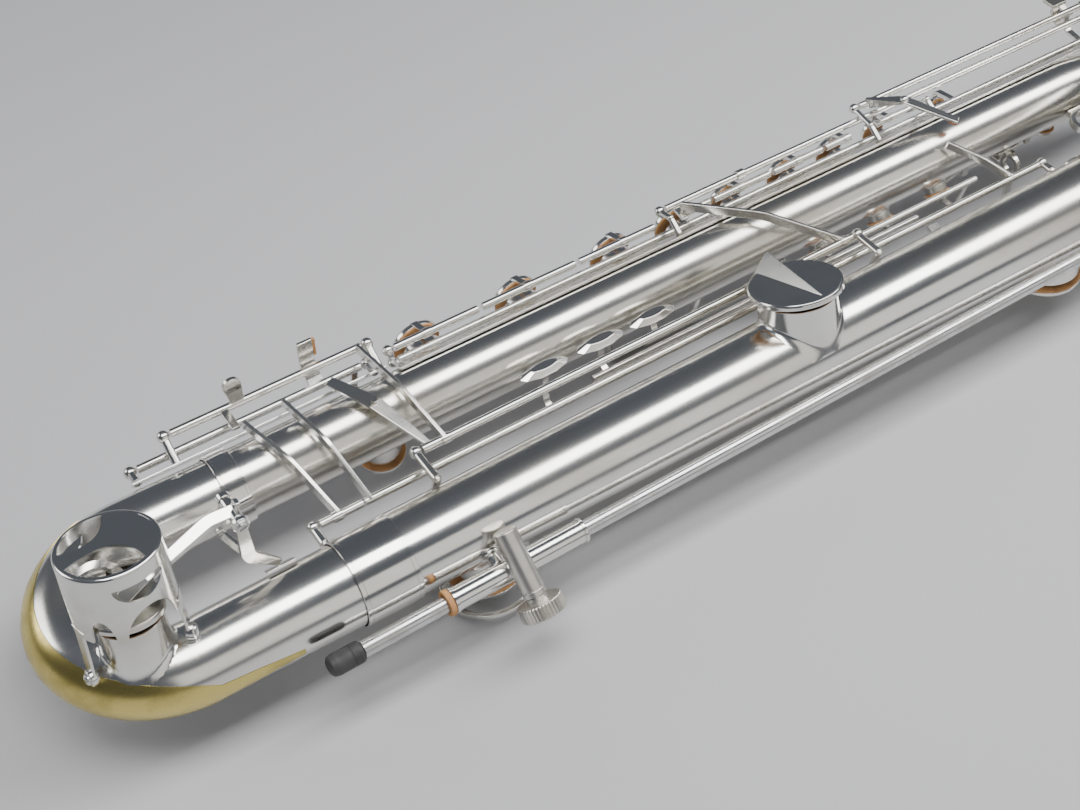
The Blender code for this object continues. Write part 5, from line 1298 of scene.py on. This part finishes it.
def build_octave_key():
    """Thumb plate and arm of the octave key, on a short saddle under the body tube."""
    pivot, up, across = pivot_of(OCTAVE_X, OCTAVE_ANGLE)
    solids = [rod(pivot - across * 6, pivot + across * 6, 2.6, segments=10)]
    plate = pivot - X * 26 + up * 6
    solids.append(bar(pivot, plate + X * 8, 6, 2.6, up=up))
    solids.append(turned(plate - up * 1.3, up, [(0, 10.5), (2.6, 10.5)], 16))
    tip = pivot + X * 24 + up * 4.2
    solids.append(bar(pivot, tip, 6, 2.6, 4.5, 2.6, up=up))
    solids.append(turned(tip - up * 4.6, up, [(0, 4), (5, 4)], 12))
    plated("octave_thumb_key", solids)


def build_fittings():
    x, out = 640, radial(-128)
    ring = pipe_ring(on_tube(x, BODY_Y, -128, BODY_R + 14) - X * 2, X, 4, 6, 9.5, 18)
    base = on_tube(x, BODY_Y, -128, BODY_R + 1.3)
    stem = bar(base, on_tube(x, BODY_Y, -128, BODY_R + 6.5), 4, 6, up=X)
    plated("strap_ring", [ring, plank(base, 12, 9, 1.8, up=out), stem])
    out = radial(-118)
    base = on_tube(392, BODY_Y, -118, BODY_R + 1.3)
    hook = [base - X * 8, base + out * 10 - X * 8, base + out * 20 + X * 2, base + out * 22 + X * 20]
    plated("thumb_hook", [plank(base, 14, 12, 1.8, up=out), *bars(hook, 3, 16, up=X.cross(out))])


# ---- screws and pads ----
def build_small_pads():
    for name, x, radius, _, _ in SIDE:
        pad(name, x, BODY_Y, SIDE_ANGLE, SIDE_HEIGHT, radius)
    for name, x, angle, radius in PALM:
        pad(name, x, BODY_Y, angle, PALM_HEIGHT, radius)
    pad("g_sharp", G_SHARP_X, BODY_Y, STACK_ANGLE, STACK_HEIGHT, G_SHARP_R)
    pad("e_flat", E_FLAT_X, BODY_Y, E_FLAT_ANGLE, E_FLAT_HEIGHT, E_FLAT_R)
    for name, line, gap in (("low_b_flat", HINGE_B, B_FLAT_OPEN), ("low_c_sharp", HINGE_C, C_SHARP_OPEN)):
        x, angle, height, radius = BELL_KEYS[name]
        pad(name, x, BELL_Y, angle, height, radius, (V(0, *line), X, gap))


def build_screws():
    for body in sorted({body for body, _ in screws}):
        piece(body + "_screws", "steel", [solid for owner, solid in screws if owner == body], body=body)


# ---- stage ----
def build_floor():
    mesh = bpy.data.meshes.new("floor")
    mesh.from_pydata([(-6, -6, 0), (6, -6, 0), (6, 6, 0), (-6, 6, 0)], [], [(0, 1, 2, 3)])
    floor = bpy.data.objects.new("floor", mesh)
    bpy.context.scene.collection.objects.link(floor)
    pale = bpy.data.materials.new("pale_floor")
    pale.use_nodes = True
    shader = pale.node_tree.nodes["Principled BSDF"]
    shader.inputs["Base Color"].default_value = (0.50, 0.50, 0.51, 1)
    shader.inputs["Roughness"].default_value = 0.75
    floor.data.materials.append(pale)


def soft_light(name, place, aim, width, height, power, tint=(1, 1, 1)):
    light = bpy.data.lights.new(name, "AREA")
    light.shape, light.size, light.size_y, light.energy, light.color = "RECTANGLE", width, height, power, tint
    obj = bpy.data.objects.new(name, light)
    bpy.context.scene.collection.objects.link(obj)
    obj.location = place
    obj.rotation_euler = (Vector(aim) - Vector(place)).to_track_quat("-Z", "Y").to_euler()


def build_lights():
    soft_light("key", (0.75, -0.20, 1.5), (0.75, -0.10, 0.05), 3.6, 0.60, 62)
    soft_light("front", (0.5, -1.9, 1), (0.3, 0, 0.05), 3.4, 1.3, 13, (1, 0.96, 0.89))
    soft_light("end", (-1.5, 1, 0.75), (-0.3, 0, 0.05), 0.8, 0.7, 7)
    world = bpy.data.worlds.new("studio")
    world.use_nodes = True
    background = world.node_tree.nodes["Background"]
    background.inputs["Color"].default_value = (0.10, 0.11, 0.13, 1)
    background.inputs["Strength"].default_value = 1
    bpy.context.scene.world = world


VIEW_TURN, VIEW_RISE = -33.7, 48.3  # degrees round and above the horn
VIEW_AIM = V(0.157, 0.003, 0)
VIEW_DISTANCE = 1.096


def build_camera():
    camera = bpy.data.cameras.new("camera")
    camera.lens, camera.sensor_width = 53.3, 36
    turn, rise = radians(VIEW_TURN), radians(VIEW_RISE)
    back = V(sin(turn) * cos(rise), -cos(turn) * cos(rise), sin(rise))
    obj = bpy.data.objects.new("camera", camera)
    bpy.context.scene.collection.objects.link(obj)
    facing = back.to_track_quat("Z", "Y").to_matrix().to_4x4()
    obj.matrix_world = LAY @ Matrix.Translation(VIEW_AIM + back * VIEW_DISTANCE) @ facing
    bpy.context.scene.camera = obj


for build in (build_body_tube, build_bell, build_bow, build_bow_plate, build_low_c_guard, build_low_c_key,
              build_low_c_post, build_low_b_key, build_bridge_lever, build_low_b_flat_key, build_low_c_link,
              build_low_c_sharp_key, build_bell_posts, build_body_posts, build_stack_keys, build_table_rods,
              build_low_end_posts, build_low_end_keys, build_g_sharp_key, build_side_keys, build_palm_keys,
              build_peg, build_upper_bow, build_neck, build_braces, build_guards, build_octave_key,
              build_fittings, build_small_pads, build_screws, build_floor, build_lights, build_camera):
    build()
